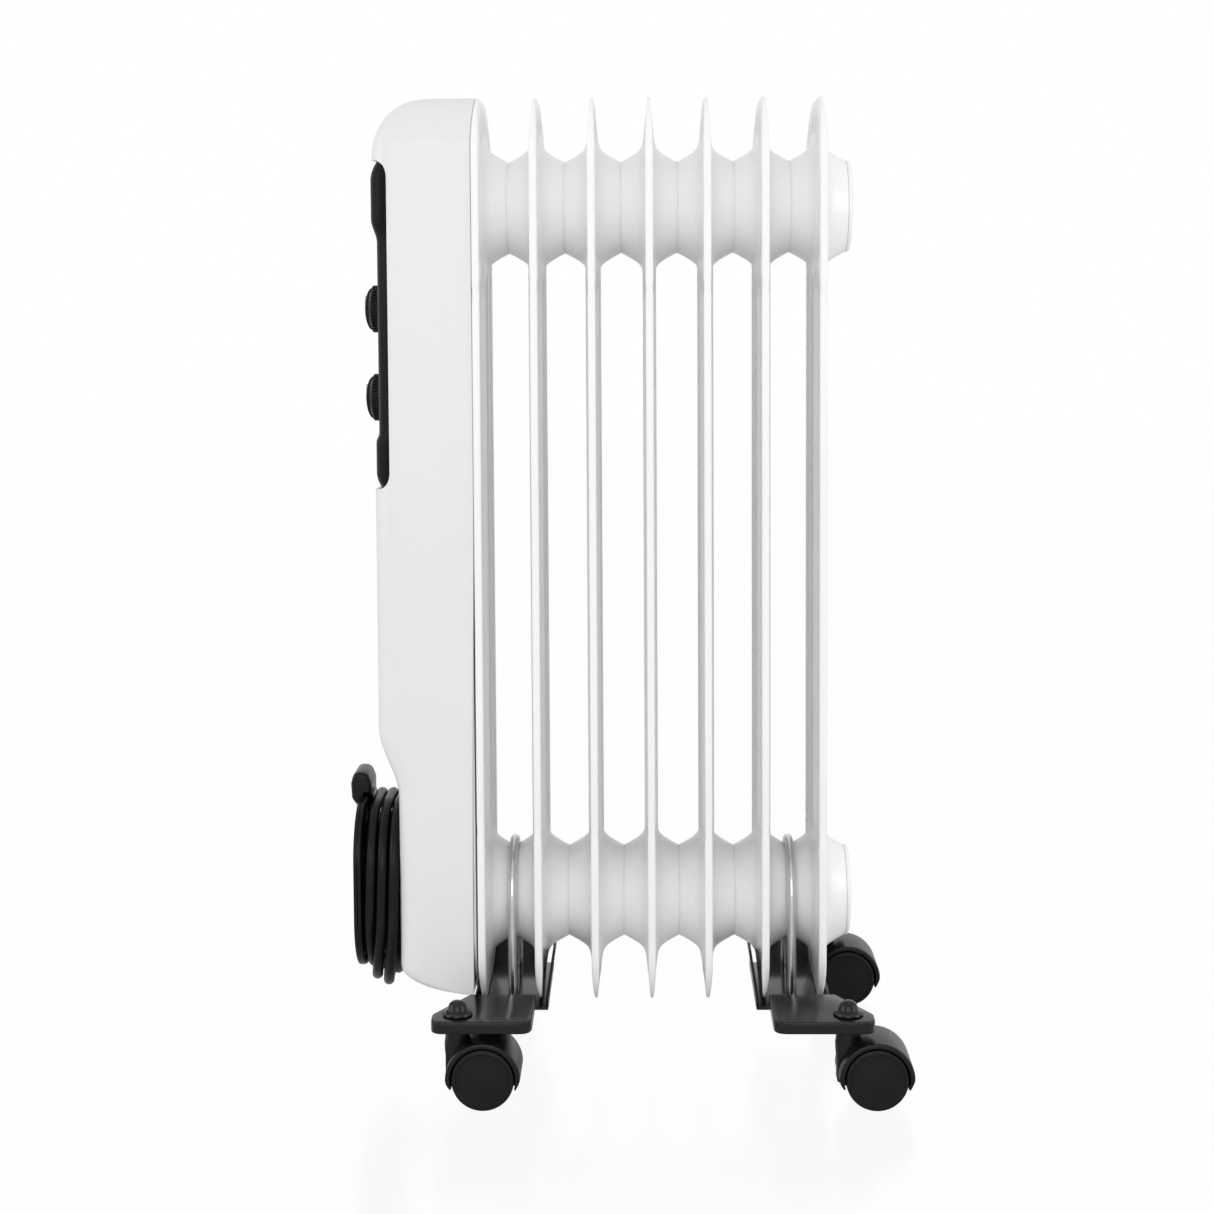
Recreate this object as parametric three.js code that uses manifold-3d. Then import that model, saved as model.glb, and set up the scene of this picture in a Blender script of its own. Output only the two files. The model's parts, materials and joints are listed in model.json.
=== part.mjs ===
// Oil filled radiator heater on four twin-wheel casters.
// Millimetres, +Z up. X runs along the row of fins, with the control housing at -X; Y runs through the depth.
// The pieces are laid out with the middle fin at x = 0. The exported group then shifts them along X, so that
// the origin is at the middle of the heater's footprint, on the floor.
import * as THREE from 'three';
import { mergeVertices } from 'three/addons/utils/BufferGeometryUtils.js';
import Module from 'manifold-3d';

const wasm = await Module();
wasm.setup();

// ---------------------------------------------------------------- driving dimensions
const GAP = 0.3;                       // clearance between pieces that touch on the real heater

const FIN_COUNT = 7;
const FIN_PITCH = 37.5;
const FIN_DEPTH = 125;
const FIN_BOTTOM_Z = 44;
const FIN_TOP_Z = 646.6;
const FIN_CORNER_R = 38;
const FIN_THICKNESS = 5;
const RIB_RISE = 2;                    // how far the pressed oil channels stand proud of a fin
const RIB_WIDTH = 15;
const RIB_SPACING = 34;
const UPPER_Z = 575.5;                 // height of the upper row of collars
const LOWER_Z = 110;                   // height of the lower row of collars
const COLLAR_R = 38.2;                 // collar radius where it leaves the fin
const NECK_R = 30.5;                   // collar radius half way between two fins
const GALLERY_R = 26;                  // oil gallery inside the collars
const COLLAR_SIDES = 20;
const GALLERY_SIDES = 12;
const CHANNEL_THICKNESS = 2.6;         // oil space inside a fin

const HOUSING_BACK_X = -118;
const HOUSING_FACE_X = -180;           // outer face above the cord winder
const HOUSING_LOWER_X = -167.2;        // outer face behind the cord winder
const HOUSING_BOTTOM_Z = 56;
const HOUSING_PLAN_R = 14;
const HOUSING_WALL = 2.5;
const STEP_LOW_Z = 187;                // the face steps out between these two heights
const STEP_HIGH_Z = 232;

const PANEL_BOTTOM_Z = 391;
const PANEL_TOP_Z = 605;
const PANEL_BACK_X = -169.6;
const PANEL_PROUD_X = -180.7;
const PANEL_RECESS_X = -177;
const PANEL_LIP_X = -179;

const KNOB_FRONT_X = -191.5;
const KNOB_R = 17.4;
const THERMOSTAT_Z = 508.6;
const SELECTOR_Z = 449;
const SPINDLE_R = 3;
const LAMP_Z = 583;

const CORD_R = 3.7;
const CORD_PITCH = 7.7;                // distance between neighbouring turns
const FIRST_RUN_X = -172.3;            // the turns nearest to the housing
const COIL_HALF_Y = 52;                // centre line of the outer turns
const COIL_TOP_Z = 174;
const COIL_BOTTOM_Z = [53, 57, 62];    // one for each of the three rows of turns
const COIL_CORNER_R = 40;
const FLANGE_IN_X = -192.6;
const FLANGE_OUT_X = -196.8;

const FOOT_X = 93.75;                  // middle of a fin pair
const FOOT_PLATE_Z = 57;
const FOOT_SHEET = 1.8;
const FOOT_LIP = 8;
const FOOT_FLOOR_Z = 43.6;
const FOOT_END_Y = 120;
const U_BOLT_R = 3;
const U_BOLT_BEND_R = 34.5;

const WHEEL_R = 20;
const WHEEL_SIDES = 30;
const AXLE_Z = WHEEL_R * Math.cos(Math.PI / WHEEL_SIDES);   // a flat of the wheel lies on the floor
const CASTER_X = 125.3;
const CASTER_Y = 104;
const CASTER_TRAIL = 17;
const CASTER_HALF_WIDTH = 19;
const HOOD_R = 24;
const HOOD_INNER_R = 20.9;
const WEB_HALF = 6;
const STEM_R = 4;

const RIGHT_END_X = CASTER_X + CASTER_TRAIL + HOOD_R;
const LUG_END_X = -204;

// ---------------------------------------------------------------- materials
function paint(color, roughness, metalness) {
  return new THREE.MeshStandardMaterial({ color, roughness, metalness });
}
const WHITE_PAINT = paint(0xf1f1ef, 0.35, 0.0);
const WHITE_COVER = paint(0xeeeeec, 0.4, 0.0);
const BLACK_PLASTIC = paint(0x141414, 0.45, 0.0);
const BLACK_STEEL = paint(0x1c1c1d, 0.3, 0.2);
const CORD_BLACK = paint(0x101010, 0.55, 0.0);
const WHEEL_GREY = paint(0x2b2b2c, 0.6, 0.0);
const ZINC = paint(0xb9bcc0, 0.3, 0.9);
const DARK_STEEL = paint(0x5a5450, 0.5, 0.8);
const BRASS = paint(0xb89b55, 0.35, 0.9);
const CREAM_PLASTIC = paint(0xd9d3c0, 0.6, 0.0);
const AMBER = paint(0xe06a10, 0.2, 0.0);

// ---------------------------------------------------------------- solid helpers
function solid(geometry) {
  const bare = geometry.index ? geometry.toNonIndexed() : geometry.clone();
  bare.deleteAttribute('normal');
  bare.deleteAttribute('uv');
  const merged = mergeVertices(bare, 1e-4);
  return new wasm.Manifold(new wasm.Mesh({
    numProp: 3,
    vertProperties: new Float32Array(merged.attributes.position.array),
    triVerts: new Uint32Array(merged.index.array),
  }));
}

function geometryOf(body) {
  const mesh = body.getMesh();
  const geometry = new THREE.BufferGeometry();
  geometry.setAttribute('position', new THREE.BufferAttribute(new Float32Array(mesh.vertProperties), 3));
  geometry.setIndex(new THREE.BufferAttribute(new Uint32Array(mesh.triVerts), 1));
  return geometry;
}

const join = (first, ...others) => others.reduce((sum, next) => sum.add(next), first);
const cut = (first, ...others) => others.reduce((rest, next) => rest.subtract(next), first);

const X_AXIS = new THREE.Vector3(1, 0, 0);
const Y_AXIS = new THREE.Vector3(0, 1, 0);
const Z_AXIS = new THREE.Vector3(0, 0, 1);
const MINUS_Y = new THREE.Vector3(0, -1, 0);
const MINUS_Z = new THREE.Vector3(0, 0, -1);

function box(x0, x1, y0, y1, z0, z1) {
  const geometry = new THREE.BoxGeometry(x1 - x0, y1 - y0, z1 - z0);
  return solid(geometry.translate((x0 + x1) / 2, (y0 + y1) / 2, (z0 + z1) / 2));
}

function extrude(shape, depth, curveSegments, options = {}) {
  return new THREE.ExtrudeGeometry(shape, { depth, curveSegments, bevelEnabled: false, ...options });
}

// A shape drawn in (y, z), extruded along X.
function extrudeX(shape, x0, x1, curveSegments = 8) {
  const frame = new THREE.Matrix4().makeBasis(Y_AXIS, Z_AXIS, X_AXIS).setPosition(x0, 0, 0);
  return solid(extrude(shape, x1 - x0, curveSegments).applyMatrix4(frame));
}

// A shape drawn in (x, z), extruded along Y.
function extrudeY(shape, y0, y1, curveSegments = 8) {
  const frame = new THREE.Matrix4().makeBasis(X_AXIS, Z_AXIS, MINUS_Y).setPosition(0, y1, 0);
  return solid(extrude(shape, y1 - y0, curveSegments).applyMatrix4(frame));
}

// A shape drawn in (x, y), extruded along Z.
function extrudeZ(shape, z0, z1, curveSegments = 8) {
  return solid(extrude(shape, z1 - z0, curveSegments).translate(0, 0, z0));
}

// Turned bodies: profile points are [radius, position along the axis], from the axis back to the axis.
function turned(profile, segments) {
  return new THREE.LatheGeometry(profile.map(([r, h]) => new THREE.Vector2(r, h)), segments);
}

function turnedX(profile, y, z, segments = 32) {
  const frame = new THREE.Matrix4().makeBasis(Y_AXIS, X_AXIS, MINUS_Z).setPosition(0, y, z);
  return solid(turned(profile, segments).applyMatrix4(frame));
}

function turnedZ(profile, x, y, segments = 24) {
  const frame = new THREE.Matrix4().makeBasis(X_AXIS, Z_AXIS, MINUS_Y).setPosition(x, y, 0);
  return solid(turned(profile, segments).applyMatrix4(frame));
}

const rodProfile = (radius, from, to) => [[0, from], [radius, from], [radius, to], [0, to]];
const rodX = (radius, x0, x1, y, z, segments = 24) => turnedX(rodProfile(radius, x0, x1), y, z, segments);
const rodZ = (radius, z0, z1, x, y, segments = 24) => turnedZ(rodProfile(radius, z0, z1), x, y, segments);

function rodY(radius, y0, y1, x, z, segments = 24, spin = 0) {
  const geometry = new THREE.CylinderGeometry(radius, radius, y1 - y0, segments);
  return solid(geometry.rotateY(spin).translate(x, (y0 + y1) / 2, z));
}

function roundedRect(a0, a1, b0, b1, r) {
  const shape = new THREE.Shape();
  shape.moveTo(a0 + r, b0);
  shape.lineTo(a1 - r, b0);
  shape.absarc(a1 - r, b0 + r, r, -Math.PI / 2, 0);
  shape.lineTo(a1, b1 - r);
  shape.absarc(a1 - r, b1 - r, r, 0, Math.PI / 2);
  shape.lineTo(a0 + r, b1);
  shape.absarc(a0 + r, b1 - r, r, Math.PI / 2, Math.PI);
  shape.lineTo(a0, b0 + r);
  shape.absarc(a0 + r, b0 + r, r, Math.PI, 1.5 * Math.PI);
  return shape;
}

function polygon(points) {
  return new THREE.Shape(points.map(([a, b]) => new THREE.Vector2(a, b)));
}

const group = new THREE.Group();
group.position.x = -(LUG_END_X + RIGHT_END_X) / 2;

function add(name, body, material) {
  const mesh = new THREE.Mesh(geometryOf(body), material);
  mesh.name = name;
  group.add(mesh);
}

// ---------------------------------------------------------------- fins
const finX = (number) => (number - (FIN_COUNT + 1) / 2) * FIN_PITCH;

function finSolid(x) {
  const half = FIN_THICKNESS / 2;
  const reach = FIN_PITCH / 2 - GAP / 2;
  const outline = roundedRect(-FIN_DEPTH / 2, FIN_DEPTH / 2, FIN_BOTTOM_Z, FIN_TOP_Z, FIN_CORNER_R);
  let body = extrudeX(outline, x - half, x + half, 6);
  const ribHalf = half + RIB_RISE;
  for (const side of [-1, 0, 1]) {
    const y = side * RIB_SPACING;
    body = body.add(box(x - ribHalf, x + ribHalf, y - RIB_WIDTH / 2, y + RIB_WIDTH / 2,
      LOWER_Z + COLLAR_R / 2, UPPER_Z - COLLAR_R / 2));
  }
  const flare = [[0, reach], [NECK_R, reach], [COLLAR_R - 3, half + 6], [COLLAR_R + 2, half - 1]];
  const left = flare.map(([radius, away]) => [radius, x - away]);
  const right = flare.map(([radius, away]) => [radius, x + away]).reverse();
  for (const z of [LOWER_Z, UPPER_Z]) {
    body = body.add(turnedX([...left, ...right], 0, z, COLLAR_SIDES));
  }
  for (const z of [LOWER_Z, UPPER_Z]) {
    body = body.subtract(rodX(GALLERY_R, x - reach - 1, x + reach + 1, 0, z, GALLERY_SIDES));
  }
  const oil = CHANNEL_THICKNESS / 2;
  return body.subtract(box(x - oil, x + oil, -GALLERY_R / 2, GALLERY_R / 2, LOWER_Z, UPPER_Z));
}

for (let number = 1; number <= FIN_COUNT; number += 1) {
  add(`fin_${number}`, finSolid(finX(number)), WHITE_PAINT);
}

// ---------------------------------------------------------------- ends of the oil galleries
const RADIATOR_LEFT_X = finX(1) - FIN_PITCH / 2;
const RADIATOR_RIGHT_X = finX(FIN_COUNT) + FIN_PITCH / 2;
const CAP_THICKNESS = 2.2;

function endCap(z) {
  const start = RADIATOR_RIGHT_X + GAP / 2;
  const end = start + CAP_THICKNESS;
  return turnedX([[0, start], [NECK_R, start], [NECK_R, end - 1], [NECK_R - 1.5, end], [0, end]], 0, z, 24);
}

add('upper_end_cap', endCap(UPPER_Z), WHITE_PAINT);
add('lower_end_cap', endCap(LOWER_Z), WHITE_PAINT);

const INNER_CAP_X = RADIATOR_LEFT_X - GAP / 2;
const INNER_CAP_FACE_X = INNER_CAP_X - CAP_THICKNESS;
const FILLER_R = 5;
const FILLER_HEAD_R = 9;
const FILLER_HEAD_DEPTH = 5;
const innerCap = rodX(NECK_R, INNER_CAP_FACE_X, INNER_CAP_X, 0, UPPER_Z);
const fillerHole = rodX(FILLER_R + GAP, INNER_CAP_FACE_X - 1, INNER_CAP_X + 1, 0, UPPER_Z, 12);
add('upper_inner_cap', innerCap.subtract(fillerHole), WHITE_PAINT);

const fillerSeatX = INNER_CAP_FACE_X - GAP;
const fillerHead = rodX(FILLER_HEAD_R, fillerSeatX - FILLER_HEAD_DEPTH, fillerSeatX, 0, UPPER_Z, 6);
const fillerShank = rodX(FILLER_R, INNER_CAP_FACE_X - 2, INNER_CAP_X + 8, 0, UPPER_Z, 12);
add('oil_filler_plug', fillerHead.add(fillerShank), ZINC);

const ELEMENT_R = 4;
const ELEMENT_LEG_Y = 10;
const ELEMENT_OFFSET_Z = 9;
const ELEMENT_START_X = INNER_CAP_X - 18;
const ELEMENT_BEND_X = finX(FIN_COUNT) - 4;
const FLANGE_THICKNESS = 8;
const FLANGE_BACK_X = INNER_CAP_X - FLANGE_THICKNESS;
let elementFlange = rodX(NECK_R, FLANGE_BACK_X, INNER_CAP_X, 0, LOWER_Z);
for (const y of [-ELEMENT_LEG_Y, ELEMENT_LEG_Y]) {
  for (const dz of [-ELEMENT_OFFSET_Z, ELEMENT_OFFSET_Z]) {
    const hole = rodX(ELEMENT_R + GAP, FLANGE_BACK_X - 1, INNER_CAP_X + 1, y, LOWER_Z + dz, 10);
    elementFlange = elementFlange.subtract(hole);
  }
}
add('element_flange', elementFlange, BRASS);

// A U-shaped tubular heating element: two legs along X and a half-round bend.
function heatingElement(z) {
  const bendX = ELEMENT_BEND_X - ELEMENT_LEG_Y;
  const steps = 8;
  const path = [new THREE.Vector3(ELEMENT_START_X, -ELEMENT_LEG_Y, z)];
  for (let i = 0; i <= steps; i += 1) {
    const angle = -Math.PI / 2 + (Math.PI * i) / steps;
    path.push(new THREE.Vector3(bendX + ELEMENT_LEG_Y * Math.cos(angle), ELEMENT_LEG_Y * Math.sin(angle), z));
  }
  path.push(new THREE.Vector3(ELEMENT_START_X, ELEMENT_LEG_Y, z));
  return tubeThrough(path, ELEMENT_R, 8);
}

// A path of straight stretches whose parameter runs evenly from point to point, so that a tube along it
// has one section at each point.
class Polyline extends THREE.Curve {
  constructor(points) {
    super();
    this.points = points;
  }

  getPoint(t, target = new THREE.Vector3()) {
    const place = Math.min(Math.max(t, 0), 1) * (this.points.length - 1);
    const index = Math.min(Math.floor(place), this.points.length - 2);
    return target.copy(this.points[index]).lerp(this.points[index + 1], place - index);
  }

  getPointAt(t, target) {
    return this.getPoint(t, target);
  }

  getTangentAt(t, target = new THREE.Vector3()) {
    const count = this.points.length - 1;
    const index = Math.round(t * count);
    const before = this.points[Math.max(index - 1, 0)];
    const after = this.points[Math.min(index + 1, count)];
    return target.copy(after).sub(before).normalize();
  }
}

// A closed round tube with one section at each of the points.
function tubeThrough(points, radius, sides) {
  const section = new THREE.Shape();
  for (let i = 0; i < sides; i += 1) {
    const angle = (2 * Math.PI * i) / sides;
    const at = [radius * Math.cos(angle), radius * Math.sin(angle)];
    if (i === 0) {
      section.moveTo(...at);
    } else {
      section.lineTo(...at);
    }
  }
  section.closePath();
  const geometry = new THREE.ExtrudeGeometry(section, {
    steps: points.length - 1, curveSegments: 1, bevelEnabled: false, extrudePath: new Polyline(points),
  });
  return solid(geometry);
}

add('heating_element_600w', heatingElement(LOWER_Z + ELEMENT_OFFSET_Z), DARK_STEEL);
add('heating_element_900w', heatingElement(LOWER_Z - ELEMENT_OFFSET_Z), DARK_STEEL);

// ---------------------------------------------------------------- control housing
// Half width of the housing and the fins at a height: full, then following the rounded top corners.
function halfWidthAt(z, inset) {
  const half = FIN_DEPTH / 2 - inset;
  const r = FIN_CORNER_R - inset;
  const rise = z - (FIN_TOP_Z - FIN_CORNER_R);
  return rise <= 0 ? half : half - r + Math.sqrt(Math.max(r * r - rise * rise, 0));
}

// Outer face of the housing at a height: lower face, S-shaped step, upper face, rounded shoulder.
const SHOULDER_Z = 606;
const SHOULDER_DEPTH = 32;
const FOOT_CURVE_Z = 84;
const FOOT_CURVE_DEPTH = 26;
function faceXAt(z) {
  if (z < FOOT_CURVE_Z) {
    const t = (FOOT_CURVE_Z - z) / (FOOT_CURVE_Z - HOUSING_BOTTOM_Z);
    return HOUSING_LOWER_X + FOOT_CURVE_DEPTH * (1 - Math.sqrt(Math.max(1 - t * t, 0)));
  }
  if (z < STEP_HIGH_Z) {
    const t = THREE.MathUtils.smoothstep(z, STEP_LOW_Z, STEP_HIGH_Z);
    return THREE.MathUtils.lerp(HOUSING_LOWER_X, HOUSING_FACE_X, t);
  }
  if (z > SHOULDER_Z) {
    const t = (z - SHOULDER_Z) / (FIN_TOP_Z - SHOULDER_Z);
    return HOUSING_FACE_X + SHOULDER_DEPTH * (1 - Math.sqrt(Math.max(1 - t * t, 0)));
  }
  return HOUSING_FACE_X;
}

// A body whose level sections are rectangles with two rounded outer corners, joined into one skin.
const CORNER_STEPS = 4;
function loft(levels) {
  const positions = [];
  const indices = [];
  const ring = 2 * (CORNER_STEPS + 1) + 2;
  for (const { z, backX, faceX, half, r } of levels) {
    positions.push(backX, -half, z);
    positions.push(backX, half, z);
    for (let i = 0; i <= CORNER_STEPS; i += 1) {
      const angle = Math.PI / 2 + (Math.PI / 2) * (i / CORNER_STEPS);
      positions.push(faceX + r + r * Math.cos(angle), half - r + r * Math.sin(angle), z);
    }
    for (let i = 0; i <= CORNER_STEPS; i += 1) {
      const angle = Math.PI + (Math.PI / 2) * (i / CORNER_STEPS);
      positions.push(faceX + r + r * Math.cos(angle), -half + r + r * Math.sin(angle), z);
    }
  }
  for (let level = 0; level + 1 < levels.length; level += 1) {
    for (let i = 0; i < ring; i += 1) {
      const a = level * ring + i;
      const b = level * ring + ((i + 1) % ring);
      indices.push(a, b, b + ring, a, b + ring, a + ring);
    }
  }
  const top = (levels.length - 1) * ring;
  for (let i = 1; i + 1 < ring; i += 1) {
    indices.push(0, i + 1, i);
    indices.push(top, top + i, top + i + 1);
  }
  const geometry = new THREE.BufferGeometry();
  geometry.setAttribute('position', new THREE.Float32BufferAttribute(positions, 3));
  geometry.setIndex(indices);
  return solid(geometry);
}

function spread(from, to, count) {
  return Array.from({ length: count + 1 }, (_, i) => from + ((to - from) * i) / count);
}

// Heights where the housing's section changes, closer together where it curves.
function housingHeights(bottom, top) {
  const curved = (from, to, count) => Array.from({ length: count + 1 },
    (_, i) => from + (to - from) * Math.sin((Math.PI / 2) * (i / count)));
  const foot = curved(FOOT_CURVE_Z, bottom, 4).reverse();
  const step = spread(STEP_LOW_Z, STEP_HIGH_Z, 6);
  const shoulder = curved(SHOULDER_Z, top, 6);
  return [...foot, ...step, ...shoulder];
}

function housingBody(inset, backX) {
  const bottom = HOUSING_BOTTOM_Z + inset;
  const top = FIN_TOP_Z - inset - 0.4;
  const inside = (height) => THREE.MathUtils.clamp(height, HOUSING_BOTTOM_Z + 1, FIN_TOP_Z - 1);
  return loft(housingHeights(bottom, top).map((z) => {
    const reach = THREE.MathUtils.lerp(HOUSING_BOTTOM_Z, FIN_TOP_Z, (z - bottom) / (top - bottom));
    return {
      z,
      backX,
      faceX: faceXAt(inset > 0 ? inside(reach) : z) + inset,
      half: halfWidthAt(z, inset),
      r: Math.max(HOUSING_PLAN_R - inset, 1),
    };
  }));
}

// The panel's window in the cover, drawn in (x, z).
function panelWindow(grow) {
  const r = 12 + grow;
  const right = PANEL_BACK_X + grow;
  const left = HOUSING_FACE_X - 30;
  const shape = new THREE.Shape();
  shape.moveTo(left, PANEL_BOTTOM_Z - grow);
  shape.lineTo(right - r, PANEL_BOTTOM_Z - grow);
  shape.absarc(right - r, PANEL_BOTTOM_Z - grow + r, r, -Math.PI / 2, 0);
  shape.lineTo(right, PANEL_TOP_Z + grow - r);
  shape.absarc(right - r, PANEL_TOP_Z + grow - r, r, 0, Math.PI / 2);
  shape.lineTo(left, PANEL_TOP_Z + grow);
  return shape;
}

const SOCKET_PIN_R = 2.4;
const SOCKET_PIN_SPACING = 19;
const PLUG_Y = -14;
const PLUG_Z = 119;
const PIN_LENGTH = 19;
const socketPlaces = [-1, 1].map((side) => PLUG_Z + (side * SOCKET_PIN_SPACING) / 2);
const SOCKET_WALL_R = 4.5;
const GLAND_Y = COIL_HALF_Y - CORD_PITCH;
const GLAND_Z = 90;
const GLAND_NECK_R = 5;
// A round hole through the housing's lower face.
const faceHole = (radius, y, z, segments = 24) => (
  rodX(radius + GAP, HOUSING_LOWER_X - 10, HOUSING_LOWER_X + 10, y, z, segments));
const housingShell = housingBody(0, HOUSING_BACK_X)
  .subtract(housingBody(HOUSING_WALL, HOUSING_BACK_X + 10))
  .subtract(extrudeY(panelWindow(GAP / 2), -FIN_DEPTH, FIN_DEPTH))
  .subtract(faceHole(GLAND_NECK_R, GLAND_Y, GLAND_Z));
const socketHoles = socketPlaces.map((z) => faceHole(SOCKET_WALL_R, PLUG_Y, z, 12));
add('housing_cover', cut(housingShell, ...socketHoles), WHITE_COVER);

// Back plate between the cover and fin 1, with grooves over the fin's oil channels.
const BACK_PLATE_X = HOUSING_BACK_X + GAP;
const BACK_PLATE_END_X = BACK_PLATE_X + 1.6;
const BACK_PLATE_INSET = 0.6;
const plateHalfY = FIN_DEPTH / 2 - BACK_PLATE_INSET;
const plateOutline = roundedRect(-plateHalfY, plateHalfY, HOUSING_BOTTOM_Z + BACK_PLATE_INSET,
  FIN_TOP_Z - BACK_PLATE_INSET, FIN_CORNER_R - BACK_PLATE_INSET);
let backPlate = extrudeX(plateOutline, BACK_PLATE_X, BACK_PLATE_END_X, 5);
for (const z of [LOWER_Z, UPPER_Z]) {
  backPlate = backPlate.subtract(rodX(COLLAR_R + 1.5, BACK_PLATE_X - 1, BACK_PLATE_END_X + 1, 0, z, 24));
}
for (const side of [-1, 0, 1]) {
  const y = side * RIB_SPACING;
  const clearance = RIB_WIDTH / 2 + 2;
  backPlate = backPlate.subtract(
    box(BACK_PLATE_END_X - 0.9, BACK_PLATE_END_X + 1, y - clearance, y + clearance, LOWER_Z, UPPER_Z));
}
const CUTOUT_Z = 480;
const CUTOUT_R = 8;
backPlate = backPlate.subtract(rodX(CUTOUT_R + 1.5, BACK_PLATE_X - 1, BACK_PLATE_END_X + 1, 0, CUTOUT_Z));
add('housing_back_plate', backPlate, WHITE_COVER);

// Black control panel: proud at the top and the bottom, recessed round the two knobs.
function panelFaceXAt(z) {
  const fall = THREE.MathUtils.smoothstep(z, 553, 566);
  const foot = 1 - THREE.MathUtils.smoothstep(z, 423, 426);
  const end = Math.max(z - 592, 0) / (PANEL_TOP_Z - 592);
  const start = Math.max(402 - z, 0) / (402 - PANEL_BOTTOM_Z);
  const proud = THREE.MathUtils.lerp(PANEL_RECESS_X, PANEL_PROUD_X, fall);
  return proud + foot * (PANEL_LIP_X - PANEL_RECESS_X) + 5 * end * end + 4.5 * start * start;
}

const panelHeights = [PANEL_BOTTOM_Z + GAP / 2, 393, 397, 402, 422, 427, 552, 557, 561, 567, 592, 597, 601,
  PANEL_TOP_Z - GAP / 2];

function panelBody(inset, backX, heights) {
  return loft(heights.map((z) => ({
    z,
    backX,
    faceX: panelFaceXAt(z) + inset,
    half: FIN_DEPTH / 2 - inset,
    r: HOUSING_PLAN_R - 3 - inset,
  })));
}

const panelInside = panelBody(HOUSING_WALL, PANEL_BACK_X + 20,
  [PANEL_BOTTOM_Z + 3, 402, 422, 427, 552, 567, 592, PANEL_TOP_Z - 6]);
const LAMP_HALF_Y = 7;
const LAMP_HALF_Z = 3;
const BUSH_R = 5;
const throughPanel = [PANEL_PROUD_X - 10, PANEL_BACK_X + 10];
const controlPanel = panelBody(0, PANEL_BACK_X + 20, panelHeights)
  .intersect(extrudeY(panelWindow(-GAP / 2), -FIN_DEPTH, FIN_DEPTH))
  .subtract(panelInside)
  .subtract(rodX(BUSH_R + GAP, ...throughPanel, 0, THERMOSTAT_Z))
  .subtract(rodX(BUSH_R + GAP, ...throughPanel, 0, SELECTOR_Z))
  .subtract(box(...throughPanel, -LAMP_HALF_Y - GAP, LAMP_HALF_Y + GAP, LAMP_Z - LAMP_HALF_Z - GAP,
    LAMP_Z + LAMP_HALF_Z + GAP));
add('control_panel', controlPanel, BLACK_PLASTIC);

// ---------------------------------------------------------------- controls
const CONTROL_FRONT_X = PANEL_RECESS_X + HOUSING_WALL + 0.8;
const SPADE_HALF_WIDTH = 3.1;
const SPADE_THICKNESS = 0.8;
const SPADE_LENGTH = 8;

// A switch body behind the panel, with its bush, spindle bore and spade terminals at [y, z from the middle].
function control(z, halfY, halfZ, depth, spadePlaces) {
  const back = CONTROL_FRONT_X + depth;
  const body = box(CONTROL_FRONT_X, back, -halfY, halfY, z - halfZ, z + halfZ);
  const bush = rodX(BUSH_R, PANEL_RECESS_X + 0.4, CONTROL_FRONT_X + 1, 0, z);
  const bore = rodX(SPINDLE_R + GAP, PANEL_RECESS_X - 1, CONTROL_FRONT_X + 14, 0, z);
  const spades = spadePlaces.map(([y, dz]) => (
    box(back - 1, back + SPADE_LENGTH, y - SPADE_HALF_WIDTH, y + SPADE_HALF_WIDTH, z + dz,
      z + dz + SPADE_THICKNESS)));
  return join(body, bush, ...spades).subtract(bore);
}

add('thermostat', control(THERMOSTAT_Z, 15, 19, 20, [[-8, 13], [8, 13], [0, -14]]), CREAM_PLASTIC);
add('selector_switch', control(SELECTOR_Z, 13, 13, 22, [[-7, 7], [7, 7], [-7, -8], [7, -8]]), CREAM_PLASTIC);

// A knob with its spindle: a skirt, a tapered dome and a raised grip bar.
const KNOB_BACK_X = PANEL_RECESS_X - 0.5;
const GRIP_HALF_WIDTH = 3.4;
function knob(z) {
  const profile = [
    [0, KNOB_FRONT_X + 2.6], [KNOB_R - 4.4, KNOB_FRONT_X + 3], [KNOB_R - 2.6, KNOB_FRONT_X + 4.2],
    [KNOB_R - 0.8, KNOB_BACK_X - 4.5], [KNOB_R, KNOB_BACK_X - 3.5], [KNOB_R, KNOB_BACK_X], [0, KNOB_BACK_X],
  ];
  const gripReach = KNOB_R - 3;
  const grip = roundedRect(-GRIP_HALF_WIDTH, GRIP_HALF_WIDTH, z - gripReach, z + gripReach, 3.2);
  const spindle = rodX(SPINDLE_R, KNOB_BACK_X - 1, CONTROL_FRONT_X + 12, 0, z, 12);
  return join(turnedX(profile, 0, z, 24), extrudeX(grip, KNOB_FRONT_X, KNOB_FRONT_X + 5, 3), spindle);
}

add('thermostat_knob', knob(THERMOSTAT_Z), BLACK_PLASTIC);
add('selector_knob', knob(SELECTOR_Z), BLACK_PLASTIC);

const lampBody = box(PANEL_PROUD_X - 0.6, PANEL_PROUD_X + 16, -LAMP_HALF_Y, LAMP_HALF_Y, LAMP_Z - LAMP_HALF_Z,
  LAMP_Z + LAMP_HALF_Z);
const lampStop = box(PANEL_PROUD_X + HOUSING_WALL + GAP, PANEL_PROUD_X + 6, -LAMP_HALF_Y - 2, LAMP_HALF_Y + 2,
  LAMP_Z - LAMP_HALF_Z - 1.5, LAMP_Z + LAMP_HALF_Z + 1.5);
add('indicator_lamp', lampBody.add(lampStop), AMBER);

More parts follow.
